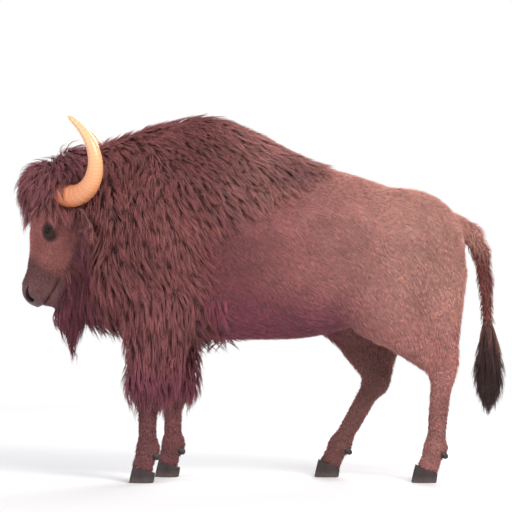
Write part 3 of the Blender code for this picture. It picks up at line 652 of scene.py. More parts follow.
def open_nostrils(points):
    """Presses two comma-shaped nostrils into the muzzle, each with a raised rim."""
    for side in SIDE_NAMES:
        edge, t, outward = nostril_edge(points, side)
        depth = NOSTRIL_DEPTH * (1 - 0.6 * t) * fall(edge, -0.0060, 0.0018)
        rim = 0.0046 * groove(edge - 0.0060, 0.0052)
        points = points + (rim - depth)[:, None] * outward
    return points


def skin_surface(points):
    """Distance to the skin with its lids, nose and mouth, and to the core of the long hair."""
    return with_muzzle(points, with_lids(points, root_field(points)))


# Each row halves the skin's edges once more: within a distance of the eyes, and on the part of the
# head past a place along the nose, with its least and greatest place out of the brow and greatest x.
FINER = (
    (0.0, 0.10, -0.26, 0.06, -0.98),
    (0.060, 0.42, -0.20, FAR, -1.10),
    (0.045, 0.50, -0.15, FAR, FAR),
    (0.040, FAR, FAR, FAR, FAR),
    (0.034, FAR, FAR, FAR, FAR),
)


def make_finer(shape, eye_reach, along_least, out_least, out_most, x_most):
    """Halves the edges of the faces whose middles lie in the region."""
    middles = np.array([face.calc_center_median() for face in shape.faces])
    along, _, out = in_head_frame(middles).T
    on_head = (along > along_least) & (out > out_least) & (out < out_most) & (middles[:, 0] < x_most)
    chosen = on_head | (from_eyes(middles) < eye_reach)
    edges = {edge for face, marked in zip(shape.faces, chosen) if marked for edge in face.edges}
    bmesh.ops.subdivide_edges(shape, edges=list(edges), cuts=1, use_grid_fill=True)


def ring_faces(rings, sides):
    """Faces of a closed tube of rings, listed ring after ring, with both ends capped."""
    ring = np.arange(sides)
    after = np.roll(ring, -1)
    quads = [(np.stack([ring, after, after + sides, ring + sides], 1) + sides * row).tolist()
             for row in range(rings - 1)]
    caps = [ring[::-1].tolist(), (ring + sides * (rings - 1)).tolist()]
    return [face for row in quads for face in row] + caps


def ear_axes(side):
    """Where the ear starts, the way it points, the way its hollow faces and the way across it."""
    mirror = np.array([1, side, 1])
    along = unit(np.array(EAR_ALONG) * mirror)
    facing = np.array(EAR_FACING) * mirror
    facing = unit(facing - (facing @ along) * along)
    return head_spot(EAR_SPOT, side), along, facing, np.cross(along, facing)


def ear_shape(side):
    """Points and faces of one ear, a cupped leaf with rolled edges. Its root lies inside the head."""
    root, along, facing, across = ear_axes(side)
    t = np.linspace(-0.06, 0.985, EAR_STEPS + 1)[:, None]
    turn = np.linspace(0, 2 * math.pi, EAR_SIDES, endpoint=False)[None]
    leaf = np.sin(math.pi * (0.12 + 0.88 * np.clip(t, 0, 1)) ** 0.75)
    width = EAR_WIDTH / 2 * leaf * fall(t, 0.90, 1.0) + 0.0045
    cupping = 0.42 * width * np.sin(turn) ** 2
    ripple = 0.0016 * np.sin(9 * t + 2 * turn)
    depth = np.sin(turn) * EAR_THICKNESS / 2 - cupping + ripple
    points = (root + t[..., None] * EAR_LENGTH * along + (np.cos(turn) * width)[..., None] * across
              + depth[..., None] * facing)
    return points.reshape(-1, 3), ring_faces(EAR_STEPS + 1, EAR_SIDES)


def add_faces(shape, points, faces):
    """Adds a closed shape to the others."""
    verts = [shape.verts.new(place) for place in points]
    for face in faces:
        shape.faces.new([verts[i] for i in face])


def linked(name, data):
    """A new object in the scene."""
    made = bpy.data.objects.new(name, data)
    bpy.context.scene.collection.objects.link(made)
    return made


def finished_mesh(shape, name):
    """The shape as a smooth mesh. The shape is used up."""
    mesh = bpy.data.meshes.new(name)
    shape.to_mesh(mesh)
    shape.free()
    mesh.shade_smooth()
    return mesh


def closed_mesh(name, parts):
    """A mesh of several closed shapes, each given as points and faces."""
    shape = bmesh.new()
    for points, faces in parts:
        add_faces(shape, points, faces)
    bmesh.ops.recalc_face_normals(shape, faces=shape.faces)
    return finished_mesh(shape, name)


def skin_mesh():
    """The body's skin in one surface, finest round the eyes and on the muzzle, and the two ears."""
    points, quads = surface_net(ROOTS)
    plain = bpy.data.meshes.new("plain")
    plain.from_pydata(settled(above_skin, points).tolist(), [], quads.tolist())
    shape = bmesh.new()
    shape.from_mesh(plain)
    bpy.data.meshes.remove(plain)
    for row in FINER:
        make_finer(shape, *row)
    places = np.array([vert.co for vert in shape.verts])
    on_head = (places[:, 0] < -0.90) & (places[:, 2] > 0.85)
    smooth = settled(skin_surface, places[on_head], 4, 0.0010, 0.006)
    places[on_head] = open_nostrils(open_lids(smooth))
    for vert, place in zip(shape.verts, places):
        vert.co = place
    for side in SIDE_NAMES:
        add_faces(shape, *ear_shape(side))
    bmesh.ops.recalc_face_normals(shape, faces=shape.faces)
    return finished_mesh(shape, "skin")


# ---------------------------------------------------------------- markings
# Linear colours of the coat and the bare skin. Some carry painted light and shade: painted light on the
# upper rear of the hump and on the upper rump, painted shade on the belly and the lower forelegs.
CAPE_DARK = np.array([0.272, 0.099, 0.098])
# painted light: the lit upper rear of the hump
CAPE_PAINTED_LIGHT = np.array([0.410, 0.192, 0.180])
MOP_DARK = np.array([0.280, 0.106, 0.118])
BEARD_DARK = np.array([0.172, 0.052, 0.072])
FACE_RED = np.array([0.590, 0.222, 0.205])
BARREL_FRONT = np.array([0.285, 0.088, 0.099])
BARREL = np.array([0.430, 0.165, 0.162])
# the rump's paler coat, with painted light where it faces up and back
RUMP_PALE_PAINTED_LIGHT = np.array([0.615, 0.308, 0.262])
# painted shade: darker, purpler lower flank and belly
BELLY_PAINTED_SHADE = np.array([0.300, 0.076, 0.124])
FORELEG_DARK = np.array([0.295, 0.105, 0.108])
# painted shade: darker, purpler lower forelegs
FORELEG_PAINTED_SHADE = np.array([0.228, 0.062, 0.098])
HINDLEG = np.array([0.560, 0.236, 0.212])
TAIL_BROWN = np.array([0.265, 0.090, 0.080])
TUFT_BLACK = np.array([0.060, 0.034, 0.034])
BARE_DARK = np.array([0.034, 0.017, 0.018])
MUZZLE_DARK = np.array([0.260, 0.108, 0.110])
NOSE_DARK = np.array([0.090, 0.043, 0.045])
EAR_COLOUR = np.array([0.360, 0.150, 0.138])
# painted shade: the skin under the coat is darkened to stand for the shade between the hairs
SKIN_SHADE = 0.48          # how dark the skin is under the coat, as a share of the coat's colour


def mixed(base, *layers):
    """The base with other values laid over it in turn, each by its share."""
    for value, share in layers:
        base = base + (value - base) * share[:, None]
    return base


def waves(points, size, turn):
    """Smooth unevenness from -1 to 1, about size across."""
    x, y, z = (points / size + turn).T
    return (np.sin(2.1 * x + 1.7 * np.sin(1.3 * z + turn))
            + np.sin(2.4 * z + 1.9 * np.sin(1.1 * y - turn))
            + np.sin(1.9 * y + 1.6 * np.sin(1.5 * x + 2 * turn))) / 3


def hair_shares(points):
    """How much a place belongs to each kind of long hair."""
    along, _, out = in_head_frame(points).T
    x, y, z = points.T
    mop = fall(head_union(BROW_HAIR, points) + HAIR_CORE, 0.004, 0.030)
    tuft = ramp(x, 1.03, 1.05) * fall(z, 0.76, 0.84)
    tail = fall(union(TAIL_SHAPES, points), 0.004, 0.018) * ramp(x, 0.99, 1.05) * (1 - tuft)
    jaw = fall(out, -0.215, -0.165) * fall(along, 0.42, 0.45)
    core = fall(union(BEARD_HAIR, points) + HAIR_CORE, 0.020, 0.060)
    below_lip = fall(out, -0.212, -0.192) * fall(along, 0.535, 0.560)
    core = core * np.maximum(below_lip, ramp(head_union(HEAD, points), 0.008, 0.022))
    beard = fall(x, -0.93, -0.89) * np.maximum(jaw, core) * (1 - mop)
    throat = ramp(x, -1.00, -0.93) * fall(x, -0.84, -0.72) * fall(z, 0.98, 1.16)
    brisket = fall(z, 0.80, 0.90) * ramp(z, 0.62, 0.68) * fall(x, -0.30, -0.10)
    brisket = brisket * fall(np.abs(y), 0.05, 0.12)
    forearm = ramp(x, -0.92, -0.86) * fall(x, -0.26, -0.18) * ramp(np.abs(y), 0.06, 0.12)
    forearm = forearm * ramp(z, 0.40, 0.47) * fall(z, 0.88, 1.02)
    throat = np.maximum(throat, brisket) * (1 - forearm)
    return {"throat": throat, "forearm": forearm, "beard": beard, "mop": mop, "tail": tail, "tuft": tuft}


def markings(points):
    """The coat's colour at each place, with painted light on the upper hump and rump, and painted shade
    on the belly, the lower forelegs, the inner hind legs, along the mouth and in the nostrils.
    """
    x, y, z = points.T
    along, _, out = in_head_frame(points).T
    shares = hair_shares(points)
    uneven = waves(points, 0.16, 0.7)
    edge = 0.018 * uneven
    # painted shade: the inner sides of the hind legs are darkened as if in shade
    inner = fall(np.abs(y), HIND_Y - 0.045, HIND_Y + 0.010) * fall(z, 0.62, 0.86) * ramp(x, 0.05, 0.15)
    # The rear body goes from dark at its lower front to pale at its upper rear: partly the coat's own
    # paler rear, partly painted light above and painted shade below.
    rear = mixed(
        BARREL_FRONT,
        (BARREL, ramp(x + 0.5 * z, 0.25, 0.75)),
        (RUMP_PALE_PAINTED_LIGHT, ramp(x + 0.35 * z, 0.42, 1.22)),
        # painted shade on the lower flank and belly
        (BELLY_PAINTED_SHADE, 0.8 * fall(z + edge, 0.76, 1.06) * fall(x, 0.25, 0.60)),
        (HINDLEG, fall(z + edge, 0.60, 1.00) * ramp(x, 0.30, 0.60)),
        (0.72 * HINDLEG, fall(z, 0.30, 0.62) * ramp(x, 0.0, 0.1) * 0.6),
        # painted shade on the inner sides of the hind legs
        (0.38 * HINDLEG, 0.85 * inner))
    cape = mixed(
        CAPE_DARK,
        # painted light on the upper rear of the hump
        (CAPE_PAINTED_LIGHT, ramp(z + 0.25 * x, 1.15, 1.45) * ramp(x, -0.42, -0.05) * 0.85),
        (FORELEG_DARK, fall(z, 0.95, 1.15)),
        # painted shade, darker and purpler towards the hooves
        (FORELEG_PAINTED_SHADE, fall(z + edge, 0.42, 0.78)))
    caped = ramp(cape_share(points + 0.05 * uneven[:, None] * (1, 0, 0)), 0.35, 0.65)
    bearded = np.maximum(shares["beard"], 0.8 * shares["throat"] * fall(x, -0.95, -0.75))
    eye_near = np.min(eye_distances(points, (1, 1, 0.72)), axis=0)
    line, t = mouth_line(points)
    body = mixed(
        rear,
        (cape, caped),
        (0.90 * FORELEG_DARK, fall(z, 0.42, 0.52) * fall(x, -0.3, -0.2)),
        (FACE_RED, face_share(points) * (1 - shares["beard"]) * fall(x, -0.96, -0.90)),
        (MUZZLE_DARK, ramp(along + 0.3 * out, 0.340, 0.400) * fall(x, -0.98, -0.92)),
        (BEARD_DARK, bearded),
        (MOP_DARK, shares["mop"]),
        (TAIL_BROWN, shares["tail"] * fall(z, 1.08, 1.22)),
        (TUFT_BLACK, shares["tuft"]),
        (BARE_DARK, fall(eye_near, 0.027, 0.052) * 0.92),
        (0.35 * BARE_DARK, fall(lid_edge(points), 0.0, 0.0080)),
        (NOSE_DARK, nose_share(points)),
        # painted shade along the crease of the mouth
        (BARE_DARK, 0.9 * groove(line, 0.0050) * ramp(t, -0.06, 0.06) * fall(t, 1.1, 1.3)),
        # painted shade inside the nostrils
        *((0.3 * BARE_DARK, fall(nostril_edge(points, side)[0], -0.0050, 0.0005)) for side in SIDE_NAMES))
    return body * (1 + 0.10 * uneven + 0.06 * waves(points, 0.05, 2.1))[:, None]


def nose_share(points):
    """1 on the moist pad of the nose, 0 elsewhere."""
    along, side, out = in_head_frame(points).T
    rounding = 0.25 * np.maximum(np.abs(side) - 0.045, 0)
    edge = along + 0.35 * out + rounding + 0.006 * waves(points, 0.03, 0.4)
    return ramp(edge, 0.506, 0.522) * ramp(out, -0.150, -0.142)


def bareness(points):
    """1 on the hairless skin of the nose, the lips and the lids, 0 on the coat."""
    along, _, out = in_head_frame(points).T
    lips = ramp(along + 0.10 * out, 0.545, 0.560) * ramp(out, -0.225, -0.205)
    return np.clip(np.maximum(nose_share(points), lips) + fall(lid_edge(points), 0.002, 0.006), 0, 1)


# ---------------------------------------------------------------- the coat
class Kind(NamedTuple):
    """How one kind of hair grows, and the slot of its pieces."""
    slot: str
    density: float       # locks in a square metre
    hairs: int           # in a lock
    length: float
    width: float         # of a hair
    spread: float        # radius of the lock's root
    lift: float          # how high the tip stands, as a share of the coat's depth
    clump: float         # how far the tips draw together
    curl: float          # size of the waves
    droop: float         # how much it hangs
    cling: float         # how closely it follows the skin
    rings: int
    shades: tuple        # brightness at the root and at the tip
    on: str = ""         # the kind whose place it shares


KINDS = {name: Kind(*row) for name, *row in (
    ("under", "light_coat", 4600, 4, 0.042, 0.0030, 0.0130, 0.42, 0.05, 0, 0, 1, 1, (0.96, 1.06), "body"),
    ("body", "light_coat", 2200, 4, 0.054, 0.0025, 0.0130, 0.50, 0.15, 0.0012, 0, 1, 2, (0.92, 1.10)),
    ("cape", "dark_coat", 1800, 7, 0.114, 0.0041, 0.0180, 0.95, 0.56, 0.0055, 0.12, 0.9, 3, (0.70, 1.15)),
    ("mane", "dark_coat", 1650, 8, 0.130, 0.0037, 0.0180, 0.95, 0.58, 0.0065, 0.20, 0.8, 3, (0.70, 1.15)),
    ("throat", "beard_coat", 1400, 9, 0.165, 0.0038, 0.015, 0.95, 0.66, 0.007, 0.75, 0.2, 4, (0.62, 1.2)),
    ("beard", "beard_coat", 2600, 9, 0.200, 0.0036, 0.0150, 1.10, 0.66, 0.007, 0.80, 0.1, 4, (0.65, 1.2)),
    ("mop", "dark_coat", 2450, 9, 0.125, 0.0032, 0.0150, 1.05, 0.68, 0.011, 0.25, 0.6, 5, (0.60, 1.20)),
    ("forearm", "dark_coat", 1290, 8, 0.145, 0.0038, 0.0160, 1.0, 0.66, 0.007, 0.45, 0.4, 3, (0.62, 1.2)),
    ("shank", "light_coat", 8600, 4, 0.027, 0.0026, 0.0080, 0.62, 0.10, 0, 0, 1, 1, (0.96, 1.12)),
    ("face", "dark_coat", 25000, 4, 0.021, 0.0016, 0.0045, 0.62, 0.20, 0, 0, 1, 1, (0.84, 1.08)),
    ("tail", "tuft_coat", 7000, 4, 0.040, 0.0028, 0.0080, 0.80, 0.45, 0, 0.10, 0.9, 2, (0.75, 1.15)),
    ("tuft", "tuft_coat", 4200, 9, 0.230, 0.0034, 0.0140, 1.0, 0.35, 0.010, 0.70, 0.1, 4, (0.75, 1.25)),
)}
WHORL = head_point(-0.06, 0, 0.08)      # the hair of the mop spreads from here
SUNK = 0.003               # how far a hair's root lies under the skin
STEPS = 6                  # straight runs in the path of a lock
CURL_TURNS = 0.8           # waves along a hair
LEAST_ROOM = 0.008         # least depth of coat that a lock reckons with
FLOOR_CLEARANCE = 0.012
HORN_CLEARANCE = 0.003
HORN_ROOT_SHARE = 0.13     # share of the horn's length that hair may lie against
HORN_ROOT_DEPTH = 0.012    # locks that start deeper than this in a horn are left out
HORN_CUT_DEPTH = 0.03      # hair ends where it would be deeper than this in a horn
EYE_VIEW = (0.023, 0.12)   # radius and length of the space before an eye that hair keeps out of
EAR_SHOWN = (0.34, 1.05)   # the part of an ear that no hair hangs over, as shares of its length
EAR_VIEW = 0.10            # how far that part's space reaches
HAIR_RIDGE = 0.9           # height of a hair's ridge, as a share of half its width
SHORT_SHADES = (0.8, 1.15)     # of ear hair and lashes
EAR_HAIRS, EAR_HAIR_WIDTH = 1800, 0.0022
LASHES, LASH_LENGTH, LASH_WIDTH = 30, 0.015, 0.0010
PATCH, MAP_EDGE = 0.003, 0.0005     # size of a hair's patch on the coat's map, and the map's rim
UNWRAP_FACES = 9000
MOST_TRIANGLES = 190000    # in one piece of the coat


def labels_of(points):
    """Which kind of hair grows at each place. The borders are ragged."""
    x, _, z = points.T
    shares = hair_shares(points)
    jitter = random.uniform(-0.25, 0.25, len(points))
    label = np.full(len(points), "body", dtype="<U8")
    label[cape_share(points) + jitter > 0.5] = "cape"
    label[(x + 0.1 * jitter < -0.62) & (z > 0.80)] = "mane"
    label[z + 0.08 * jitter < np.where(x < -0.2, 0.45, 0.60)] = "shank"
    label[(face_share(points) + jitter > 0.5) & (x < -0.90)] = "face"
    for name, share in shares.items():
        label[share + jitter > 0.5] = name
    return label


def lie_of_coat(points, normals, name):
    """Which way the hair lies, before it is laid along the skin."""
    x, y, z = points.T
    along, _, out = in_head_frame(points).T
    outward = np.sign(y + 1e-9)

    def towards(vx, vy, vz):
        """One way for every place, with its sideways part outward."""
        return np.stack(np.broadcast_arrays(vx, vy * outward, vz), axis=1).astype(float)

    if name == "face":
        cheek = fall(along, 0.34, 0.46) * fall(out, -0.17, -0.06)
        flow = mixed(np.broadcast_to(NOSEWARD, points.shape), (towards(0.62, 0.0, -0.78), cheek))
    elif name == "mop":
        flow = unit(points - WHORL) + (-0.35, 0, -0.75)
    elif name in ("beard", "throat", "forearm", "tuft", "tail"):
        flow = towards(0.12 if name == "forearm" else 0.05, 0.0, -1.0)
    else:
        crest = towards(0.85, np.where(x < 0.25, 0.50, 0.22) * ramp(np.abs(y), 0.0, 0.10), -0.25)
        flow = mixed(
            towards(0.72, 0.0, -0.69),
            (towards(0.35, 0.0, -0.94), ramp(x, 0.40, 0.75) * fall(z, 1.10, 1.35)),
            (towards(0.42, 0.0, -0.90), cape_share(points)),
            (towards(0.10, 0.0, -1.0), fall(z, 0.55, 0.80)),
            (crest, ramp(normals[:, 2], 0.45, 0.95) * (z > 1.0)),
            (towards(0.9, 0.0, -0.3), ramp(-normals[:, 2], 0.5, 0.9) * (z > 0.6)),
            (towards(0.28, 0.1, -0.95), ramp(-x, 0.70, 0.90) * (z < 1.45)))
    turn = 0.30 * waves(points, 0.11, 4.2) + 0.16 * waves(points, 0.035, 1.2)
    flow = unit(flow)
    return unit(flow * np.cos(turn)[:, None] + np.cross(normals, flow) * np.sin(turn)[:, None])


def along_skin(vectors, normals):
    """The vectors without their part along the normals."""
    return unit(vectors - np.sum(vectors * normals, axis=1, keepdims=True) * normals)


def horn_line(side, t):
    """Places along the horn's middle line at shares t of its length, and its radius at each."""
    base = head_spot(HORN_SPOT, side)
    a, b, c, d = (base + np.array([x, y * side, z]) for x, y, z in HORN_STEPS)
    t = t[:, None]
    line = (1 - t) ** 3 * a + 3 * t * (1 - t) ** 2 * b + 3 * t * t * (1 - t) * c + t ** 3 * d
    radius = HORN_TIP_RADIUS + (HORN_BASE_RADIUS - HORN_TIP_RADIUS) * (1 - t[:, 0]) ** HORN_TAPER
    return line, radius


def beside_horns(points, margin):
    """The places moved out of the horns, and how deep each lay in a horn. Past the horn's root any depth
    counts as much."""
    points, depth = points.copy(), np.zeros(len(points))
    for side in SIDE_NAMES:
        line, radius = horn_line(side, np.linspace(0, 1, 70))
        near = (points[:, 0] < -0.70) & (points[:, 2] > 1.28) & (points[:, 1] * side > 0)
        close = np.flatnonzero(near)
        away = points[close, None] - line[None]
        gap = np.linalg.norm(away, axis=2) - radius[None] - margin
        nearest = gap.argmin(axis=1)
        rows = np.arange(len(close))
        inside = np.maximum(-gap[rows, nearest], 0)
        points[close] += unit(away[rows, nearest]) * inside[:, None]
        outer = (inside > 0) & (nearest > HORN_ROOT_SHARE * len(line))
        depth[close] = np.where(outer, FAR, inside)
    return points, depth


def over_ear(points):
    """Whether places lie in front of the outer part of an ear."""
    held = np.zeros(len(points), bool)
    for side in SIDE_NAMES:
        root, along, facing, across = ear_axes(side)
        away = points - root
        share = away @ along / EAR_LENGTH
        on_leaf = (share > EAR_SHOWN[0]) & (share < EAR_SHOWN[1])
        on_leaf &= np.abs(away @ across) < 0.85 * EAR_WIDTH / 2
        held |= on_leaf & (away @ facing > 0) & (away @ facing < EAR_VIEW)
    return held


def over_eye(points):
    """Whether places lie in front of an eye."""
    held = np.zeros(len(points), bool)
    for side in SIDE_NAMES:
        gaze = eye_axes(side)[0]
        away = points - eye_centre(side)
        across = np.linalg.norm(away - (away @ gaze)[:, None] * gaze, axis=1)
        held |= (across < EYE_VIEW[0]) & (away @ gaze > 0) & (away @ gaze < EYE_VIEW[1])
    return held


def read_array(items, field, width, kind):
    """A field of all the items, as rows."""
    values = np.empty(len(items) * width, dtype=kind)
    items.foreach_get(field, values)
    return values.reshape(-1, width)


def triangles_of(mesh):
    """Corners of the mesh's triangles."""
    mesh.calc_loop_triangles()
    corners = read_array(mesh.loop_triangles, "vertices", 3, np.int32)
    return read_array(mesh.vertices, "co", 3, np.float32).astype(float)[corners]


def scattered(corners, weights, count):
    """Places spread evenly by weight over triangles, and the normals there."""
    edge_1, edge_2 = corners[:, 1] - corners[:, 0], corners[:, 2] - corners[:, 0]
    cross = np.cross(edge_1, edge_2)
    total = np.cumsum(weights * np.linalg.norm(cross, axis=1) / 2)
    picks = (np.arange(count) + random.uniform(0, 1, count)) / count * total[-1]
    chosen = np.minimum(np.searchsorted(total, picks), len(total) - 1)
    u, v = random.uniform(0, 1, (2, count))
    over = u + v > 1
    u, v = np.where(over, 1 - u, u)[:, None], np.where(over, 1 - v, v)[:, None]
    return corners[chosen, 0] + u * edge_1[chosen] + v * edge_2[chosen], unit(cross[chosen])


def locks_on(skin_corners, labels, name):
    """Where the locks of one kind start, and the skin's normals there. Fewer grow under the belly, and
    more where they part: along the crest and round the whorl."""
    mine = skin_corners[labels == (KINDS[name].on or name)]
    middle = mine.mean(axis=1)
    cross = np.cross(mine[:, 1] - mine[:, 0], mine[:, 2] - mine[:, 0])
    up = unit(cross)[:, 2]
    weight = 1 - 0.4 * ramp(-up, 0.3, 0.8)
    if name in ("cape", "mane", "mop"):
        weight = weight + 0.7 * ramp(up, 0.5, 0.9) * fall(np.abs(middle[:, 1]), 0.10, 0.18)
        weight = weight + 1.5 * fall(np.linalg.norm(middle - WHORL, axis=1), 0.05, 0.13)
    if name == "face":
        weight = weight * (1 - bareness(middle))
    area = np.linalg.norm(cross, axis=1) / 2
    return scattered(mine, weight, int(KINDS[name].density * (area * weight).sum()))


def length_share(roots, name):
    """How long the locks are at each root, as a share of their kind's length."""
    along, _, out = in_head_frame(roots).T
    if name == "face":
        return (1 - 0.62 * ramp(along, 0.30, 0.54)) * (0.45 + 0.55 * ramp(from_eyes(roots), 0.035, 0.075))
    if name == "cape":
        return 0.88 + 0.12 * ramp(cape_share(roots), 0.5, 1.0)
    if name == "shank":
        return 0.6 + 0.4 * ramp(roots[:, 2], 0.10, 0.2)
    if name == "beard":
        return 1 - 0.45 * ramp(along, 0.44, 0.54) * ramp(out, -0.30, -0.22)
    if name == "tuft":
        return 0.42 + 0.58 * ramp(roots[:, 2], 0.42, 0.68)
    return np.ones(len(roots))


def lock_paths(roots, normals, name):
    """The middle lines of locks, with the way each one's back faces."""
    style = KINDS[name]
    parting = fall(np.linalg.norm(roots - WHORL, axis=1), 0.04, 0.12)
    stray = random.normal(0, 1, roots.shape) * (0.10 + 0.55 * parting)[:, None]
    lie = unit(lie_of_coat(roots, normals, name) + stray)
    room = np.maximum(-read_grid(TIPS, roots), LEAST_ROOM)
    length = style.length * random.uniform(0.72, 1.18, len(roots)) * length_share(roots, name)
    height = style.lift * room * random.uniform(0.75, 1.12, len(roots))
    if name in ("cape", "mane"):
        height = height * (1 - 0.35 * ramp(normals[:, 2], 0.5, 0.9))
    height = np.minimum(height, 0.45 * length)
    start = above_skin(roots)
    here, slope = roots, normals
    path, faces = [roots - normals * np.minimum(SUNK, 0.3 * height)[:, None]], [normals]
    for step in range(1, STEPS + 1):
        t = step / STEPS
        pull = style.droop * t
        ahead = unit(along_skin(lie, slope) * (1 - pull) + np.array([0.06, 0, -1.0]) * pull)
        here = here + ahead * (length / STEPS)[:, None]
        slope = unit(slope_of(above_skin, here, 0.6 * SKIN_STEP))
        error = height * (1 - (1 - t) ** 1.9) - (above_skin(here) - start)
        here = here + slope * (np.where(error > 0, error, error * style.cling))[:, None]
        path.append(here)
        faces.append(slope)
    return np.stack(path, axis=1), np.stack(faces, axis=1)


def between(rows, share):
    """Values at shares of the way along each row's points."""
    place = np.clip(share, 0, 1) * (rows.shape[1] - 1)
    index = np.minimum(place.astype(int), rows.shape[1] - 2)
    part = (place - index)[..., None]
    picked = np.arange(len(rows))[:, None]
    return rows[picked, index] * (1 - part) + rows[picked, index + 1] * part


def cut_short(line, back, blocked):
    """Hairs that would run into something end before it. Those stopped at their root are left out."""
    rings = line.shape[1] - 1
    free = np.where(blocked.any(axis=1), blocked.argmax(axis=1) - 1, rings)
    share = np.linspace(0, 1, rings + 1)[None] * (free / rings)[:, None]
    return between(line, share), unit(between(back, share)), free > 0


def hairs_of(paths, faces, style):
    """The middle lines of all the hairs of the locks, the way their backs face, and the lock of each."""
    owner = np.repeat(np.arange(len(paths)), style.hairs)
    count = len(owner)
    reach = random.uniform(0.62, 1.0, count)
    share = np.linspace(0, 1, style.rings + 1)[None] * reach[:, None]
    line = between(paths[owner], share)
    back = unit(between(faces[owner], share))
    ahead = unit(np.diff(line, axis=1, append=2 * line[:, -1:] - line[:, -2:-1]))
    across = unit(np.cross(ahead, back))
    radius = style.spread * np.sqrt(random.uniform(0, 1, count))
    turn = random.uniform(0, 2 * math.pi, count)
    sideways, lengthways = radius * np.cos(turn), radius * np.sin(turn)
    drawn = 1 - style.clump * share ** 0.8
    phase = random.uniform(0, 2 * math.pi, len(paths))[owner] + random.normal(0, 0.5, count)
    wave = phase[:, None] + 2 * math.pi * share * CURL_TURNS
    swing = style.curl * share * np.sin(wave)
    rise = style.curl * share * np.cos(wave)
    rise = rise + random.uniform(-0.35, 0.35, count)[:, None] * style.spread * share
    line = (line + across * (sideways[:, None] * drawn + swing)[..., None]
            + ahead * (lengthways[:, None] * (1 - share))[..., None] + back * rise[..., None])
    return line, back, owner


def hair_corners(line, back, widths):
    """Corners of closed three-sided hairs that narrow to a point: for each ring its left edge, ridge and
    right edge, and then the tip."""
    count, rings = line.shape[0], line.shape[1] - 1
    ahead = unit(np.diff(line, axis=1))
    across = unit(np.cross(ahead, back[:, :-1]))
    half = (0.5 * widths[:, None] * (1 - np.arange(rings) / rings) ** 0.7)[..., None]
    ridge = np.cross(across, ahead) * (HAIR_RIDGE * half)
    start = line[:, :-1]
    sides = np.stack([start - across * half, start + ridge, start + across * half], axis=2)
    return np.concatenate([sides.reshape(count, rings * 3, 3), line[:, -1:]], axis=1)


def hair_faces(rings):
    """Triangles of one hair, as places in its own list of corners."""
    faces = [(0, 2, 1)]
    for ring in range(rings - 1):
        for i in range(3):
            a, b = 3 * ring + i, 3 * ring + (i + 1) % 3
            faces += [(a, b, b + 3), (a, b + 3, a + 3)]
    last = 3 * (rings - 1)
    faces += [(last + i, last + (i + 1) % 3, last + 3) for i in range(3)]
    return np.array(faces)


def coat_mesh(name, shades, line, back, widths, colours, root_uv):
    """One piece of the coat as a mesh, with its colours and its map."""
    corners = hair_corners(line, back, widths)
    count, each = corners.shape[:2]
    rings = line.shape[1] - 1
    faces = (hair_faces(rings)[None] + each * np.arange(count)[:, None, None]).reshape(-1, 3)
    mesh = bpy.data.meshes.new(name)
    mesh.from_pydata(corners.reshape(-1, 3), [], faces)
    mesh.shade_smooth()
    height = np.append(np.repeat(np.arange(rings) / rings, 3), 1.0)
    shade = shades[0] + (shades[1] - shades[0]) * height ** 0.8
    add_colours(mesh, (colours[:, None, :] * shade[None, :, None]).reshape(-1, 3))
    spot = np.stack([height, np.append(np.tile((0.0, 0.5, 1.0), rings), 0.5)], axis=1) * PATCH
    places = np.clip(root_uv[:, None, :] + spot[None] - PATCH / 2, MAP_EDGE, 1 - MAP_EDGE)
    uvs = places.reshape(-1, 2)[faces.reshape(-1)]
    mesh.uv_layers.new(name="OFBake").data.foreach_set("uv", uvs.reshape(-1))
    return mesh


def add_colours(mesh, colours):
    """Gives every corner of the mesh its colour."""
    tint = np.ones((len(colours), 4))
    tint[:, :3] = colours
    mesh.attributes.new("Coat", "FLOAT_COLOR", "POINT").data.foreach_set("color", tint.reshape(-1))


def add_values(mesh, name, values):
    """Gives every corner of the mesh a value."""
    mesh.attributes.new(name, "FLOAT", "POINT").data.foreach_set("value", values)


class Unwrap:
    """A flat map of the skin's own shape, read at any place near the skin."""

    def __init__(self, mesh):
        """Thins a copy of the skin and unwraps it."""
        copy = linked("unwrapped", mesh.copy())
        thin = copy.modifiers.new("thin", "DECIMATE")
        thin.ratio = UNWRAP_FACES / (2 * len(mesh.polygons))
        bpy.context.view_layer.objects.active = copy
        copy.select_set(True)
        bpy.ops.object.modifier_apply(modifier=thin.name)
        bpy.ops.object.mode_set(mode="EDIT")
        bpy.ops.mesh.select_all(action="SELECT")
        bpy.ops.uv.smart_project(angle_limit=math.radians(66), island_margin=0.003)
        bpy.ops.object.mode_set(mode="OBJECT")
        self.corners = triangles_of(copy.data)
        loops = read_array(copy.data.loop_triangles, "loops", 3, np.int32)
        self.flat = read_array(copy.data.uv_layers.active.data, "uv", 2, np.float32)[loops]
        ordered = self.corners.reshape(-1, 3).tolist()
        self.tree = BVHTree.FromPolygons(ordered, np.arange(len(ordered)).reshape(-1, 3).tolist())
        bpy.data.objects.remove(copy)

    def read(self, points):
        """Places on the map nearest to these points."""
        index = np.array([self.tree.find_nearest(place)[2] for place in points.tolist()])
        a, b, c = (self.corners[index, i] for i in range(3))
        edge_1, edge_2, away = b - a, c - a, points - a
        d11, d12, d22 = ((edge_1 * edge_1).sum(1), (edge_1 * edge_2).sum(1), (edge_2 * edge_2).sum(1))
        d1, d2 = (away * edge_1).sum(1), (away * edge_2).sum(1)
        spread = np.maximum(d11 * d22 - d12 * d12, 1e-18)
        v = np.clip((d22 * d1 - d12 * d2) / spread, 0, 1)
        w = np.clip((d11 * d2 - d12 * d1) / spread, 0, 1 - v)
        uv = self.flat[index]
        return uv[:, 0] * (1 - v - w)[:, None] + uv[:, 1] * v[:, None] + uv[:, 2] * w[:, None]


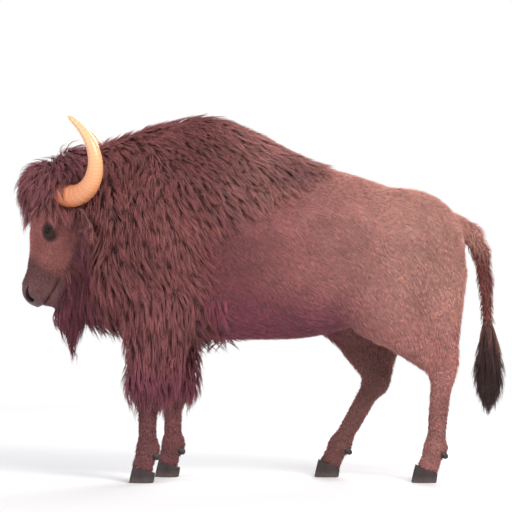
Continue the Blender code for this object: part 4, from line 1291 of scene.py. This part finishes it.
def tinted(colours, owner, uneven=0.08):
    """The colour of each hair: its lock's colour, a little lighter or darker for lock and hair."""
    by_lock = 1 + random.normal(0, uneven, len(colours))
    by_hair = 1 + random.normal(0, 0.06, len(owner))
    warmth = random.normal(0, 0.03, len(colours))
    lock = colours * by_lock[:, None] * np.stack([1 + warmth, 1 - warmth * 0.3, 1 - warmth], axis=1)
    return np.clip(lock[owner] * by_hair[:, None], 0.004, 1)


def add_coat(name, slot, shades, hairs):
    """Adds hairs as pieces, parted by side and along the body so that none is too large."""
    line = hairs[0]
    triangles = len(hair_faces(line.shape[1] - 1))
    for side, side_name in SIDE_NAMES.items():
        mine = np.flatnonzero(line[:, 0, 1] * side >= 0)
        mine = mine[np.argsort(line[mine, 0, 0])]
        parts = max(1, math.ceil(len(mine) * triangles / MOST_TRIANGLES))
        for number, part in enumerate(np.array_split(mine, parts)):
            label = f"coat_{name}_{side_name}" + (f"_{number + 1}" if parts > 1 else "")
            add_object(label, coat_mesh(label, shades, *(values[part] for values in hairs)), slot)


def grow(skin_corners, labels, name, unwrap):
    """Grows one kind of hair all over its part of the skin."""
    style = KINDS[name]
    roots, normals = locks_on(skin_corners, labels, name)
    paths, faces = lock_paths(roots, normals, name)
    keep = beside_horns(roots, 0)[1] < HORN_ROOT_DEPTH
    keep &= ~over_eye(paths.reshape(-1, 3)).reshape(paths.shape[:2]).any(axis=1)
    roots = roots[keep]
    line, back, owner = hairs_of(paths[keep], faces[keep], style)
    places, depth = beside_horns(line.reshape(-1, 3), HORN_CLEARANCE)
    shape = line.shape[:2]
    deep = (depth > HORN_CUT_DEPTH).reshape(shape)
    line, back, shown = cut_short(places.reshape(line.shape), back, deep)
    shown &= ~(over_eye(places) | over_ear(places)).reshape(shape).any(axis=1)
    line, back, owner = line[shown], back[shown], owner[shown]
    line[..., 2] = np.maximum(line[..., 2], FLOOR_CLEARANCE)
    widths = style.width * random.uniform(0.7, 1.25, len(owner))
    if name == "face":
        widths = widths * (1 - 0.35 * ramp(in_head_frame(roots)[owner, 0], 0.30, 0.54))
    colours = tinted(markings(roots), owner, 0.045 if style.rings < 3 else 0.09)
    add_coat(name, style.slot, style.shades, (line, back, widths, colours, unwrap.read(roots)[owner]))


def bent_hairs(starts, ways, backs, lengths, bend, rings):
    """Middle lines of hairs that leave their roots one way and bend another, and their backs."""
    t = np.linspace(0, 1, rings + 1)[None, :, None]
    line = starts[:, None] + ways[:, None] * lengths[:, None, None] * t + bend[:, None] * t ** 2
    return line, np.repeat(backs[:, None], rings + 1, axis=1)


def ear_hairs(side, unwrap):
    """Short hair over the ear, longer along its edges and inside it."""
    root, along, facing, across = ear_axes(side)
    points, faces = ear_shape(side)
    ring = np.array([face for face in faces if len(face) == 4])
    corners = np.concatenate([points[ring[:, [0, 1, 2]]], points[ring[:, [0, 2, 3]]]])
    starts, normals = scattered(corners, np.ones(len(corners)), EAR_HAIRS)
    middle = root + ((starts - root) @ along)[:, None] * along
    normals = normals * np.sign(((starts - middle) * normals).sum(1) + 1e-6)[:, None]
    t = np.clip((starts - root) @ along / EAR_LENGTH, 0, 1)
    rim = ((starts - root) @ across) / (EAR_WIDTH / 2)
    inner = ramp(normals @ facing, 0.0, 0.5)
    lengths = 0.016 + 0.016 * ramp(np.abs(rim), 0.45, 0.9) + 0.018 * inner * (1 - t)
    lengths = lengths * random.uniform(0.7, 1.25, EAR_HAIRS)
    ways = along_skin(np.broadcast_to(along, starts.shape) + across * (rim * 0.55)[:, None]
                      + random.normal(0, 0.16, starts.shape), normals)
    ways = unit(ways + normals * (0.16 + 0.25 * inner)[:, None])
    bend = np.array([0.05, 0, -1.0]) * (lengths * 0.22)[:, None]
    line, back = bent_hairs(starts - 0.001 * normals, ways, normals, lengths, bend, 2)
    colours = mixed(np.tile(EAR_COLOUR, (EAR_HAIRS, 1)), (1.5 * EAR_COLOUR, inner))
    colours = tinted(colours, np.arange(EAR_HAIRS))
    widths = EAR_HAIR_WIDTH * random.uniform(0.7, 1.2, EAR_HAIRS)
    return line, back, widths, colours, unwrap.read(starts)


def lashes(side, unwrap):
    """Lashes along the upper lid."""
    gaze, along, across = eye_axes(side)
    u = np.linspace(-0.86, 0.86, LASHES) + random.normal(0, 0.012, LASHES)
    rise = unit(np.array([0, 0, 1.0]) - gaze[2] * gaze)
    upward = across * np.sign(across @ rise)
    away = along * (u * EYE_HALF_LENGTH)[:, None] + upward * half_opening(u)[:, None]
    lid_radius = EYEBALL_RADIUS + 0.5 * LID_THICKNESS
    depth = np.sqrt(np.maximum(lid_radius ** 2 - (away ** 2).sum(1), 1e-8))
    starts = eye_centre(side) + away + gaze * (depth - 0.001)[:, None]
    ways = unit(gaze + 0.30 * upward + along * (0.35 * u)[:, None] + np.array([0, 0, -0.25]))
    lengths = LASH_LENGTH * random.uniform(0.7, 1.1, LASHES)
    backs = unit(np.broadcast_to(upward, ways.shape) + 0.01 * along)
    line, back = bent_hairs(starts, ways, backs, lengths, upward * (0.35 * lengths)[:, None], 3)
    colours = np.tile(BARE_DARK, (LASHES, 1))
    return line, back, np.full(LASHES, LASH_WIDTH), colours, unwrap.read(starts)


# ---------------------------------------------------------------- objects
HORN_DOME = 0.965           # share of the horn's length where its rounded tip begins
HORN_SHARES = np.append(np.linspace(0, HORN_DOME, 140),
                        HORN_DOME + (1 - HORN_DOME) * np.sin(np.linspace(0, math.pi / 2, 19)[1:]))
HORN_SIDES = 48
GROWTH_RINGS = 17
CLAW_LEVELS, CLAW_SIDES = 16, 56
CLAW_INNER = 0.72           # how wide a toe is towards the cleft, as a share of its outer half
DEWCLAW_RADIUS, DEWCLAW_LENGTH, DEWCLAW_RINGS, DEWCLAW_SIDES = 0.0172, 0.041, 14, 20
CORNEA_BULGE = 0.045        # as a share of the eyeball's radius
SHIFT = 0.5 * sum(corner.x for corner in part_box("eye_left")) - head_point(*EYE_SPOT)[0]


def add_object(name, mesh, slot_name, moved=True):
    """Adds a piece that rides on the body. Its shape is given in the design frame."""
    piece = linked(name, mesh)
    if moved:
        mesh.transform(Matrix.Translation((SHIFT, 0, 0)))
    mesh.materials.append(MATERIALS[slot_name])
    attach(piece, "root")
    return piece


def horn_parts(side):
    """A horn with growth rings at its base, fine furrows along it and a rounded tip."""
    line, radius = horn_line(side, HORN_SHARES)
    ahead = unit(np.gradient(line, axis=0))
    across = np.empty_like(line)
    current = np.array([0, 0, 1.0])
    for i, way in enumerate(ahead):
        current = unit(current - (current @ way) * way)
        across[i] = current
    up = np.cross(across, ahead)
    t = HORN_SHARES[:, None]
    turn = np.linspace(0, 2 * math.pi, HORN_SIDES, endpoint=False)[None]
    wobble = 0.8 * np.sin(turn + 3 * t)
    growth = np.sin(2 * math.pi * (GROWTH_RINGS * t ** 0.85) + wobble) * fall(t, 0.25, 0.62)
    furrow = np.sin(11 * turn + 5 * t) * 0.4 + np.sin(17 * turn - 3 * t) * 0.25
    wear = 0.006 * growth * (1 - t) ** 0.3 + 0.004 * furrow * fall(t, 0.4, 0.9)
    tip = np.sqrt(np.clip(1 - (np.maximum(t - HORN_DOME, 0) / (1 - HORN_DOME)) ** 2, 0.0004, 1))
    size = (radius[:, None] * (1 + wear * 2.2) * tip)[..., None]
    points = line[:, None] + size * (
        np.cos(turn)[..., None] * across[:, None] + np.sin(turn)[..., None] * up[:, None])
    return points.reshape(-1, 3), ring_faces(len(HORN_SHARES), HORN_SIDES)


def claw_parts(foot_x, foot_y, outward):
    """One toe of a cloven hoof: pointed in front, round behind, ridged round, flat below."""
    turn = np.linspace(0, 2 * math.pi, CLAW_SIDES, endpoint=False)
    half_length, half_width = CLAW_LENGTH / 2, CLAW_WIDTH / 2
    outline = np.cos(turn) * half_length
    point = 1 - 0.30 * ramp(outline, 0.0, half_length)
    breadth = np.sin(turn) * half_width * point
    breadth = breadth * np.where(breadth < 0, CLAW_INNER, 1.0)
    rings = []
    levels = [(0.0, 0.0022), (0.0022, 0.0)] + [(h, 0.0) for h in np.linspace(0.06, 1.12, CLAW_LEVELS)]
    for share, inset in levels:
        ridge = 0.00022 * np.sin(30 * share + 1.2 * np.sin(turn)) * (share > 0.05)
        swell = 1 - 0.10 * share ** 1.3 + (ridge - inset) / half_width
        side = breadth * swell + (half_width * CLAW_INNER + CLAW_GAP / 2)
        forward = outline * swell + 0.016 - 0.012 * share
        height = coronet_height(forward) * share if share > 0.003 else np.full(CLAW_SIDES, share)
        rings.append(np.stack([foot_x - forward, foot_y + outward * side, height], axis=1))
    return np.concatenate(rings), ring_faces(len(rings), CLAW_SIDES)


def dewclaw_parts(fetlock_x, foot_y, fetlock_z, outward):
    """A small blunt cone behind the fetlock."""
    root = np.array([fetlock_x + 0.028, foot_y + outward * 0.026, fetlock_z - 0.022])
    along = unit(np.array([0.80, 0.12 * outward, -0.60]))
    across = unit(np.cross(along, (0, 1, 0)))
    up = np.cross(across, along)
    turn = np.linspace(0, 2 * math.pi, DEWCLAW_SIDES, endpoint=False)[:, None]
    rings = []
    for t in np.linspace(-0.2, 1, DEWCLAW_RINGS):
        blunt = math.sqrt(max(1 - max(t, 0) ** 3.2, 0.004))
        radius = DEWCLAW_RADIUS * blunt * (1 + 0.015 * math.sin(30 * t))
        rings.append(root + along * (t * DEWCLAW_LENGTH)
                     + radius * (np.cos(turn) * across + np.sin(turn) * up))
    return np.concatenate(rings), ring_faces(len(rings), DEWCLAW_SIDES)


def eye_mesh():
    """An eyeball whose cornea bulges along its own Z axis."""
    shape = bmesh.new()
    bmesh.ops.create_uvsphere(shape, u_segments=64, v_segments=48, radius=EYEBALL_RADIUS)
    for vert in shape.verts:
        vert.co *= 1 + CORNEA_BULGE * float(ramp(vert.co.z / EYEBALL_RADIUS, 0.72, 0.98))
    return finished_mesh(shape, "eye")


def add_eye(side, name):
    """Sets an eyeball behind the lids, turned the way it looks."""
    gaze, along, _ = eye_axes(side)
    piece = add_object(f"eye_{name}_ball", eye_mesh(), "eye", moved=False)
    turn = Matrix((along, np.cross(gaze, along), gaze)).transposed().to_4x4()
    piece.matrix_world = Matrix.Translation(Vector(eye_centre(side)) + Vector((SHIFT, 0, 0))) @ turn
    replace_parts(piece, f"eye_{name}")


# ---------------------------------------------------------------- materials
NOISE_LOW, NOISE_HIGH = 0.3, 0.7        # where most of a noise's values lie
# Places along the horn and their colours.
HORN_STOPS = ((0.02, (0.52, 0.16, 0.070)), (0.12, (0.76, 0.26, 0.115)), (0.45, (0.82, 0.37, 0.175)),
              (0.95, (0.86, 0.49, 0.26)))
HOOF_DARK, HOOF_SCUFFED = (0.030, 0.019, 0.018, 1), (0.085, 0.062, 0.054, 1)
SCUFFED_HEIGHT = 0.035
IRIS_BROWN, EYE_RIM = (0.026, 0.011, 0.006, 1), (0.012, 0.006, 0.005, 1)
PUPIL_BLACK = (0.002, 0.002, 0.003, 1)
PUPIL_EDGE, IRIS_EDGE = (0.0076, 0.0086), (0.0140, 0.0160)     # inner and outer radius of each soft edge
PUPIL_STRETCH = 1.75                    # the pupil's length over its height
FLOOR_GREY = (0.74, 0.74, 0.75, 1)


class Look:
    """The nodes of a material or a world, which feed its shader."""

    def __init__(self, owner, shader_name, inputs):
        """Starts with the shader alone, and values that hold for the whole surface."""
        owner.use_nodes = True
        self.owner, self.tree = owner, owner.node_tree
        self.shader = self.tree.nodes[shader_name]
        self.fill(self.shader, inputs)

    def fill(self, node, inputs):
        """Sets a node's inputs, by name or number, to values or to the outputs of other nodes."""
        for key, value in inputs.items():
            if isinstance(value, bpy.types.NodeSocket):
                self.tree.links.new(value, node.inputs[key])
            else:
                node.inputs[key].default_value = value

    def node(self, kind_name, inputs, output=0, **settings):
        """Adds a node with its settings, and gives one of its outputs."""
        new = self.tree.nodes.new("ShaderNode" + kind_name)
        for key, value in settings.items():
            setattr(new, key, value)
        self.fill(new, inputs)
        return new.outputs[output]

    def place(self):
        """The place on the object."""
        return self.node("TexCoord", {}, "Object")

    def attribute(self, name, output):
        """What the corners carry under a name."""
        return self.node("Attribute", {}, output, attribute_name=name)

    def maths(self, operation, first, second):
        """The result of arithmetic."""
        return self.node("Math", {0: first, 1: second}, operation=operation)

    def product(self, first, second):
        """Two values multiplied."""
        return self.maths("MULTIPLY", first, second)

    def length(self, arrow):
        """How long an arrow is."""
        return self.node("VectorMath", {0: arrow}, 1, operation="LENGTH")

    def flattened(self, place, height):
        """The place as seen along Z, with its Y stretched."""
        return self.node("VectorMath", {0: place, 1: (1, height, 0)}, operation="MULTIPLY")

    def ranged(self, value, low, high, start=0.0, end=1.0):
        """Goes from low to high as the value goes from start to end."""
        return self.node("MapRange", {0: value, 1: start, 2: end, 3: low, 4: high})

    def noise(self, place, scale, detail=3.0, rough=0.55):
        """Cloudy noise."""
        inputs = {"Vector": place, "Scale": scale, "Detail": detail, "Roughness": rough}
        return self.node("TexNoise", inputs)

    def streaks(self, place, across, down, detail):
        """Noise drawn out along Z, with its scale across and down the streaks."""
        drawn = self.node("Mapping", {"Vector": place, "Scale": (across, across, down)})
        return self.noise(drawn, 1.0, detail)

    def uneven(self, noise, low, high):
        """A factor that follows a noise."""
        return self.ranged(noise, low, high, NOISE_LOW, NOISE_HIGH)

    def value_mix(self, share, first, second):
        """From the first value to the second by a share."""
        return self.node("Mix", {0: share, 2: first, 3: second}, data_type="FLOAT")

    def colour_mix(self, share, first, second, blend="MIX"):
        """From the first colour to the second by a share."""
        return self.node("Mix", {0: share, 6: first, 7: second}, 2, data_type="RGBA", blend_type=blend)

    def shaded(self, colour, factor):
        """A colour made lighter or darker by a factor."""
        grey = self.node("CombineColor", {0: factor, 1: factor, 2: factor})
        return self.colour_mix(1.0, colour, grey, "MULTIPLY")

    def finished(self, colour, roughness, height, strength, distance):
        """Feeds the shader its colour and roughness, with the surface raised by a height."""
        bump = self.node("Bump", {"Strength": strength, "Distance": distance, "Height": height})
        self.fill(self.shader, {"Base Color": colour, "Roughness": roughness, "Normal": bump})
        return self.owner


def surface_look(name, roughness, specular, inputs):
    """The look of a new material, with the values that hold all over it."""
    inputs = {"Roughness": roughness, "Specular IOR Level": specular, **inputs}
    return Look(bpy.data.materials.new(name), "Principled BSDF", inputs)


def coat_material(name, roughness, sheen):
    """Hair: its own colours, uneven along and between the locks, with a soft sheen."""
    look = surface_look(name, roughness, 0.22, {
        "Specular Tint": (0.80, 0.58, 0.52, 1), "Sheen Weight": sheen, "Sheen Roughness": 0.45})
    place = look.place()
    patches = look.uneven(look.noise(place, 9.0), 0.86, 1.14)
    grain = look.uneven(look.streaks(place, 260, 40, 2.0), 0.80, 1.20)
    colour = look.shaded(look.attribute("Coat", "Color"), look.product(patches, grain))
    gloss = look.ranged(look.noise(place, 30.0), roughness - 0.08, roughness + 0.08)
    return look.finished(colour, gloss, look.streaks(place, 500, 60, 2.0), 0.35, 0.0015)


def skin_material():
    """Skin with the coat's markings: felted under the hair, finely pored and moist where it is bare."""
    look = surface_look("skin", 0.7, 0.35, {})
    place = look.place()
    bare = look.attribute("Bare", "Fac")
    felt = look.streaks(place, 190, 34, 3.0)
    edges = look.node("TexVoronoi", {"Vector": place, "Scale": 420.0}, feature="DISTANCE_TO_EDGE")
    wet = look.ranged(look.ranged(bare, 0.0, 1.0, 1.0, 2.0), 0.15, 1.0)
    pebbles = look.product(look.ranged(edges, 0.0, 1.0, 0.0, 0.45), wet)
    patches = look.uneven(look.noise(place, 14.0), 0.84, 1.16)
    streaks = look.value_mix(bare, look.uneven(felt, 0.62, 1.18), 1.0)
    colour = look.shaded(look.attribute("Coat", "Color"), look.product(patches, streaks))
    relief, depth = look.value_mix(bare, felt, pebbles), look.ranged(bare, 0.0030, 0.0010)
    return look.finished(colour, look.ranged(bare, 0.78, 0.38), relief, 0.7, depth)


def horn_material():
    """Horn: amber at its base and cream at its tip, with darker growth rings and streaks along it."""
    look = surface_look("horn", 0.36, 0.5, {"Coat Weight": 0.22, "Coat Roughness": 0.22})
    length = look.attribute("Length", "Fac")
    place = look.place()
    blotch, fine = look.noise(place, 22.0), look.noise(place, 210.0, 4.0)
    base = look.node("ValToRGB", {0: look.maths("ADD", length, look.ranged(blotch, -0.06, 0.06))})
    stops = base.node.color_ramp.elements
    for _ in HORN_STOPS[2:]:
        stops.new(0.5)
    for stop, (position, colour) in zip(stops, HORN_STOPS):
        stop.position, stop.color = position, (*colour, 1)
    rings = look.node("TexWave", {"Vector": look.node("CombineXYZ", {0: length}), "Scale": 11.0,
                                  "Distortion": 1.6, "Detail": 2.0}, "Fac", wave_type="BANDS")
    factor = look.product(look.ranged(rings, 0.90, 1.05), look.uneven(fine, 0.88, 1.10))
    return look.finished(look.shaded(base, factor), look.ranged(blotch, 0.30, 0.46), fine, 0.4, 0.0012)


def hoof_material():
    """Hoof horn: dark, greyer and scuffed towards the ground, with fine lines down it."""
    look = surface_look("hoof", 0.5, 0.4, {})
    place = look.place()
    lines = look.streaks(place, 240, 22, 3.0)
    scuffs = look.noise(place, 46.0, 5.0, 0.7)
    height = look.node("SeparateXYZ", {0: place}, "Z")
    ragged = look.maths("ADD", height, look.ranged(scuffs, -0.02, 0.02))
    colour = look.colour_mix(look.ranged(ragged, 1.0, 0.0, 0.0, SCUFFED_HEIGHT), HOOF_DARK, HOOF_SCUFFED)
    factor = look.product(look.uneven(lines, 0.72, 1.22), look.ranged(scuffs, 0.85, 1.15))
    return look.finished(look.shaded(colour, factor), look.ranged(scuffs, 0.38, 0.66), lines, 0.5, 0.0012)


def eye_material():
    """A dark eye: a lying oval pupil, a brown iris streaked from its middle, and a clear wet surface."""
    look = surface_look("eye", 0.16, 0.06, {"Coat Weight": 0.14, "Coat Roughness": 0.03})
    place = look.place()
    flat, oval = look.flattened(place, 1), look.flattened(place, PUPIL_STRETCH)
    rays = look.noise(look.node("VectorMath", {0: flat}, operation="NORMALIZE"), 14.0)
    iris = look.shaded(IRIS_BROWN, look.uneven(rays, 0.55, 1.5))
    colour = look.colour_mix(look.ranged(look.length(oval), 1.0, 0.0, *PUPIL_EDGE), iris, PUPIL_BLACK)
    colour = look.colour_mix(look.ranged(look.length(flat), 0.0, 1.0, *IRIS_EDGE), colour, EYE_RIM)
    look.fill(look.shader, {"Base Color": colour})
    return look.owner


MATERIALS = {
    "dark_coat": coat_material("dark_coat", 0.58, 0.04),
    "beard_coat": coat_material("beard_coat", 0.60, 0.03),
    "light_coat": coat_material("light_coat", 0.55, 0.08),
    "tuft_coat": coat_material("tuft_coat", 0.52, 0.03),
    "horn": horn_material(),
    "hoof": hoof_material(),
    "eye": eye_material(),
}


# ---------------------------------------------------------------- the animal
def add_skin(mesh):
    """Adds the skin with its markings, in place of all the flesh."""
    places = np.array([vert.co for vert in mesh.vertices])
    bare = bareness(places)
    # Under the coat the skin is darkened as painted shade between the hairs; bare skin keeps its full
    # colour.
    add_colours(mesh, markings(places) * mixed(np.full(1, SKIN_SHADE), (np.ones(1), bare)))
    add_values(mesh, "Bare", bare + nose_share(places))
    skin = add_object("skin", mesh, "dark_coat")
    mesh.materials[0] = skin_material()
    solid = ("horn_", "eye_", "claw")
    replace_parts(skin, *(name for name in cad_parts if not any(word in name for word in solid)))


def add_horn(side, name):
    """Adds a finer horn, which knows how far along it each corner lies."""
    mesh = closed_mesh("horn", [horn_parts(side)])
    add_values(mesh, "Length", np.repeat(HORN_SHARES, HORN_SIDES))
    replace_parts(add_object(f"horn_{name}_fine", mesh, "horn"), f"horn_{name}")


def add_hoof(foot, side, foot_x, foot_y, fetlock):
    """Adds the claws and dewclaws of one foot."""
    ways = {"outer": side, "inner": -side}
    claws = [claw_parts(foot_x, foot_y, way) for way in ways.values()]
    dewclaws = [dewclaw_parts(fetlock[0], foot_y, fetlock[1], way) for way in ways.values()]
    hoof = add_object(f"{foot}_hoof", closed_mesh("hoof", claws + dewclaws), "hoof")
    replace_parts(hoof, *(f"{foot}_{part}_{way}" for part in ("claw", "dewclaw") for way in ways))


def build():
    """The skin with its coat, and the finer horns, eyes and hooves, in place of the plain solids."""
    mesh = skin_mesh()
    skin_corners = triangles_of(mesh)
    unwrap = Unwrap(mesh)
    labels = labels_of(skin_corners.mean(axis=1))
    for name in KINDS:
        grow(skin_corners, labels, name, unwrap)
    for name, maker in (("ear", ear_hairs), ("lashes", lashes)):
        both = zip(*(maker(side, unwrap) for side in SIDE_NAMES))
        add_coat(name, "dark_coat", SHORT_SHADES, [np.concatenate(values) for values in both])
    add_skin(mesh)
    for side, name in SIDE_NAMES.items():
        add_horn(side, name)
        add_eye(side, name)
    for place in foot_places():
        add_hoof(*place)


build()


# ---------------------------------------------------------------- floor, light and camera
AMBIENT = 0.62             # brightness of the white surroundings as a light
WHITE = (1, 1, 1, 1)
FLOOR_RADIUS = 60
FLOOR_FADES = (2.2, 7.0)   # distances between which the floor fades into the white behind it
CAMERA_DISTANCE, CAMERA_HEIGHT = 13.0, 1.13
VIEW_WIDTH = 2.59          # metres across the picture at the animal


def seen_white(look):
    """The brightness of white: full to the camera, and less as a light."""
    return look.ranged(look.node("LightPath", {}, "Is Camera Ray"), AMBIENT, 1.0)


def pale_floor():
    """A wide pale floor that fades into the white behind it."""
    shape = bmesh.new()
    bmesh.ops.create_circle(shape, cap_ends=True, segments=96, radius=FLOOR_RADIUS)
    floor = linked("floor", finished_mesh(shape, "floor"))
    look = surface_look("floor", 0.9, 0.2, {})
    place = look.place()
    grey = look.shaded(FLOOR_GREY, look.ranged(look.noise(place, 3.0), 0.985, 1.015))
    look.fill(look.shader, {"Base Color": grey})
    glow = look.node("Emission", {"Color": WHITE, "Strength": seen_white(look)})
    away = look.ranged(look.length(place), 0.0, 1.0, *FLOOR_FADES)
    mix = look.node("MixShader", {0: away, 1: look.shader.outputs[0], 2: glow})
    look.fill(look.tree.nodes["Material Output"], {"Surface": mix})
    floor.data.materials.append(look.owner)


def area_light(name, place, target, size, power, colour):
    """Adds a square light that points at a place."""
    light = bpy.data.lights.new(name, "AREA")
    light.size, light.energy, light.color = size, power, colour
    lamp = linked(name, light)
    lamp.location = place
    lamp.rotation_euler = (Vector(target) - Vector(place)).to_track_quat("-Z", "Y").to_euler()


pale_floor()
sky = Look(bpy.data.worlds.new("studio"), "Background", {"Color": WHITE})
sky.fill(sky.shader, {"Strength": seen_white(sky)})
bpy.context.scene.world = sky.owner
area_light("key", (3.6, -5.6, 5.2), (0, 0, 0.9), 3.2, 620, (1.0, 0.965, 0.93))
area_light("side", (-5.2, -3.4, 3.0), (-0.6, 0, 1.0), 3.0, 130, (0.93, 0.92, 1.0))
area_light("back", (2.0, 5.6, 4.6), (0, 0, 1.0), 3.5, 400, (1, 1, 1))
bpy.context.scene.view_settings.view_transform = "Standard"

camera_data = bpy.data.cameras.new("camera")
camera_data.lens = camera_data.sensor_width * CAMERA_DISTANCE / VIEW_WIDTH
camera = linked("camera", camera_data)
camera.location = (-0.02, -CAMERA_DISTANCE, CAMERA_HEIGHT)
camera.rotation_euler = (math.radians(90), 0, 0)
bpy.context.scene.camera = camera
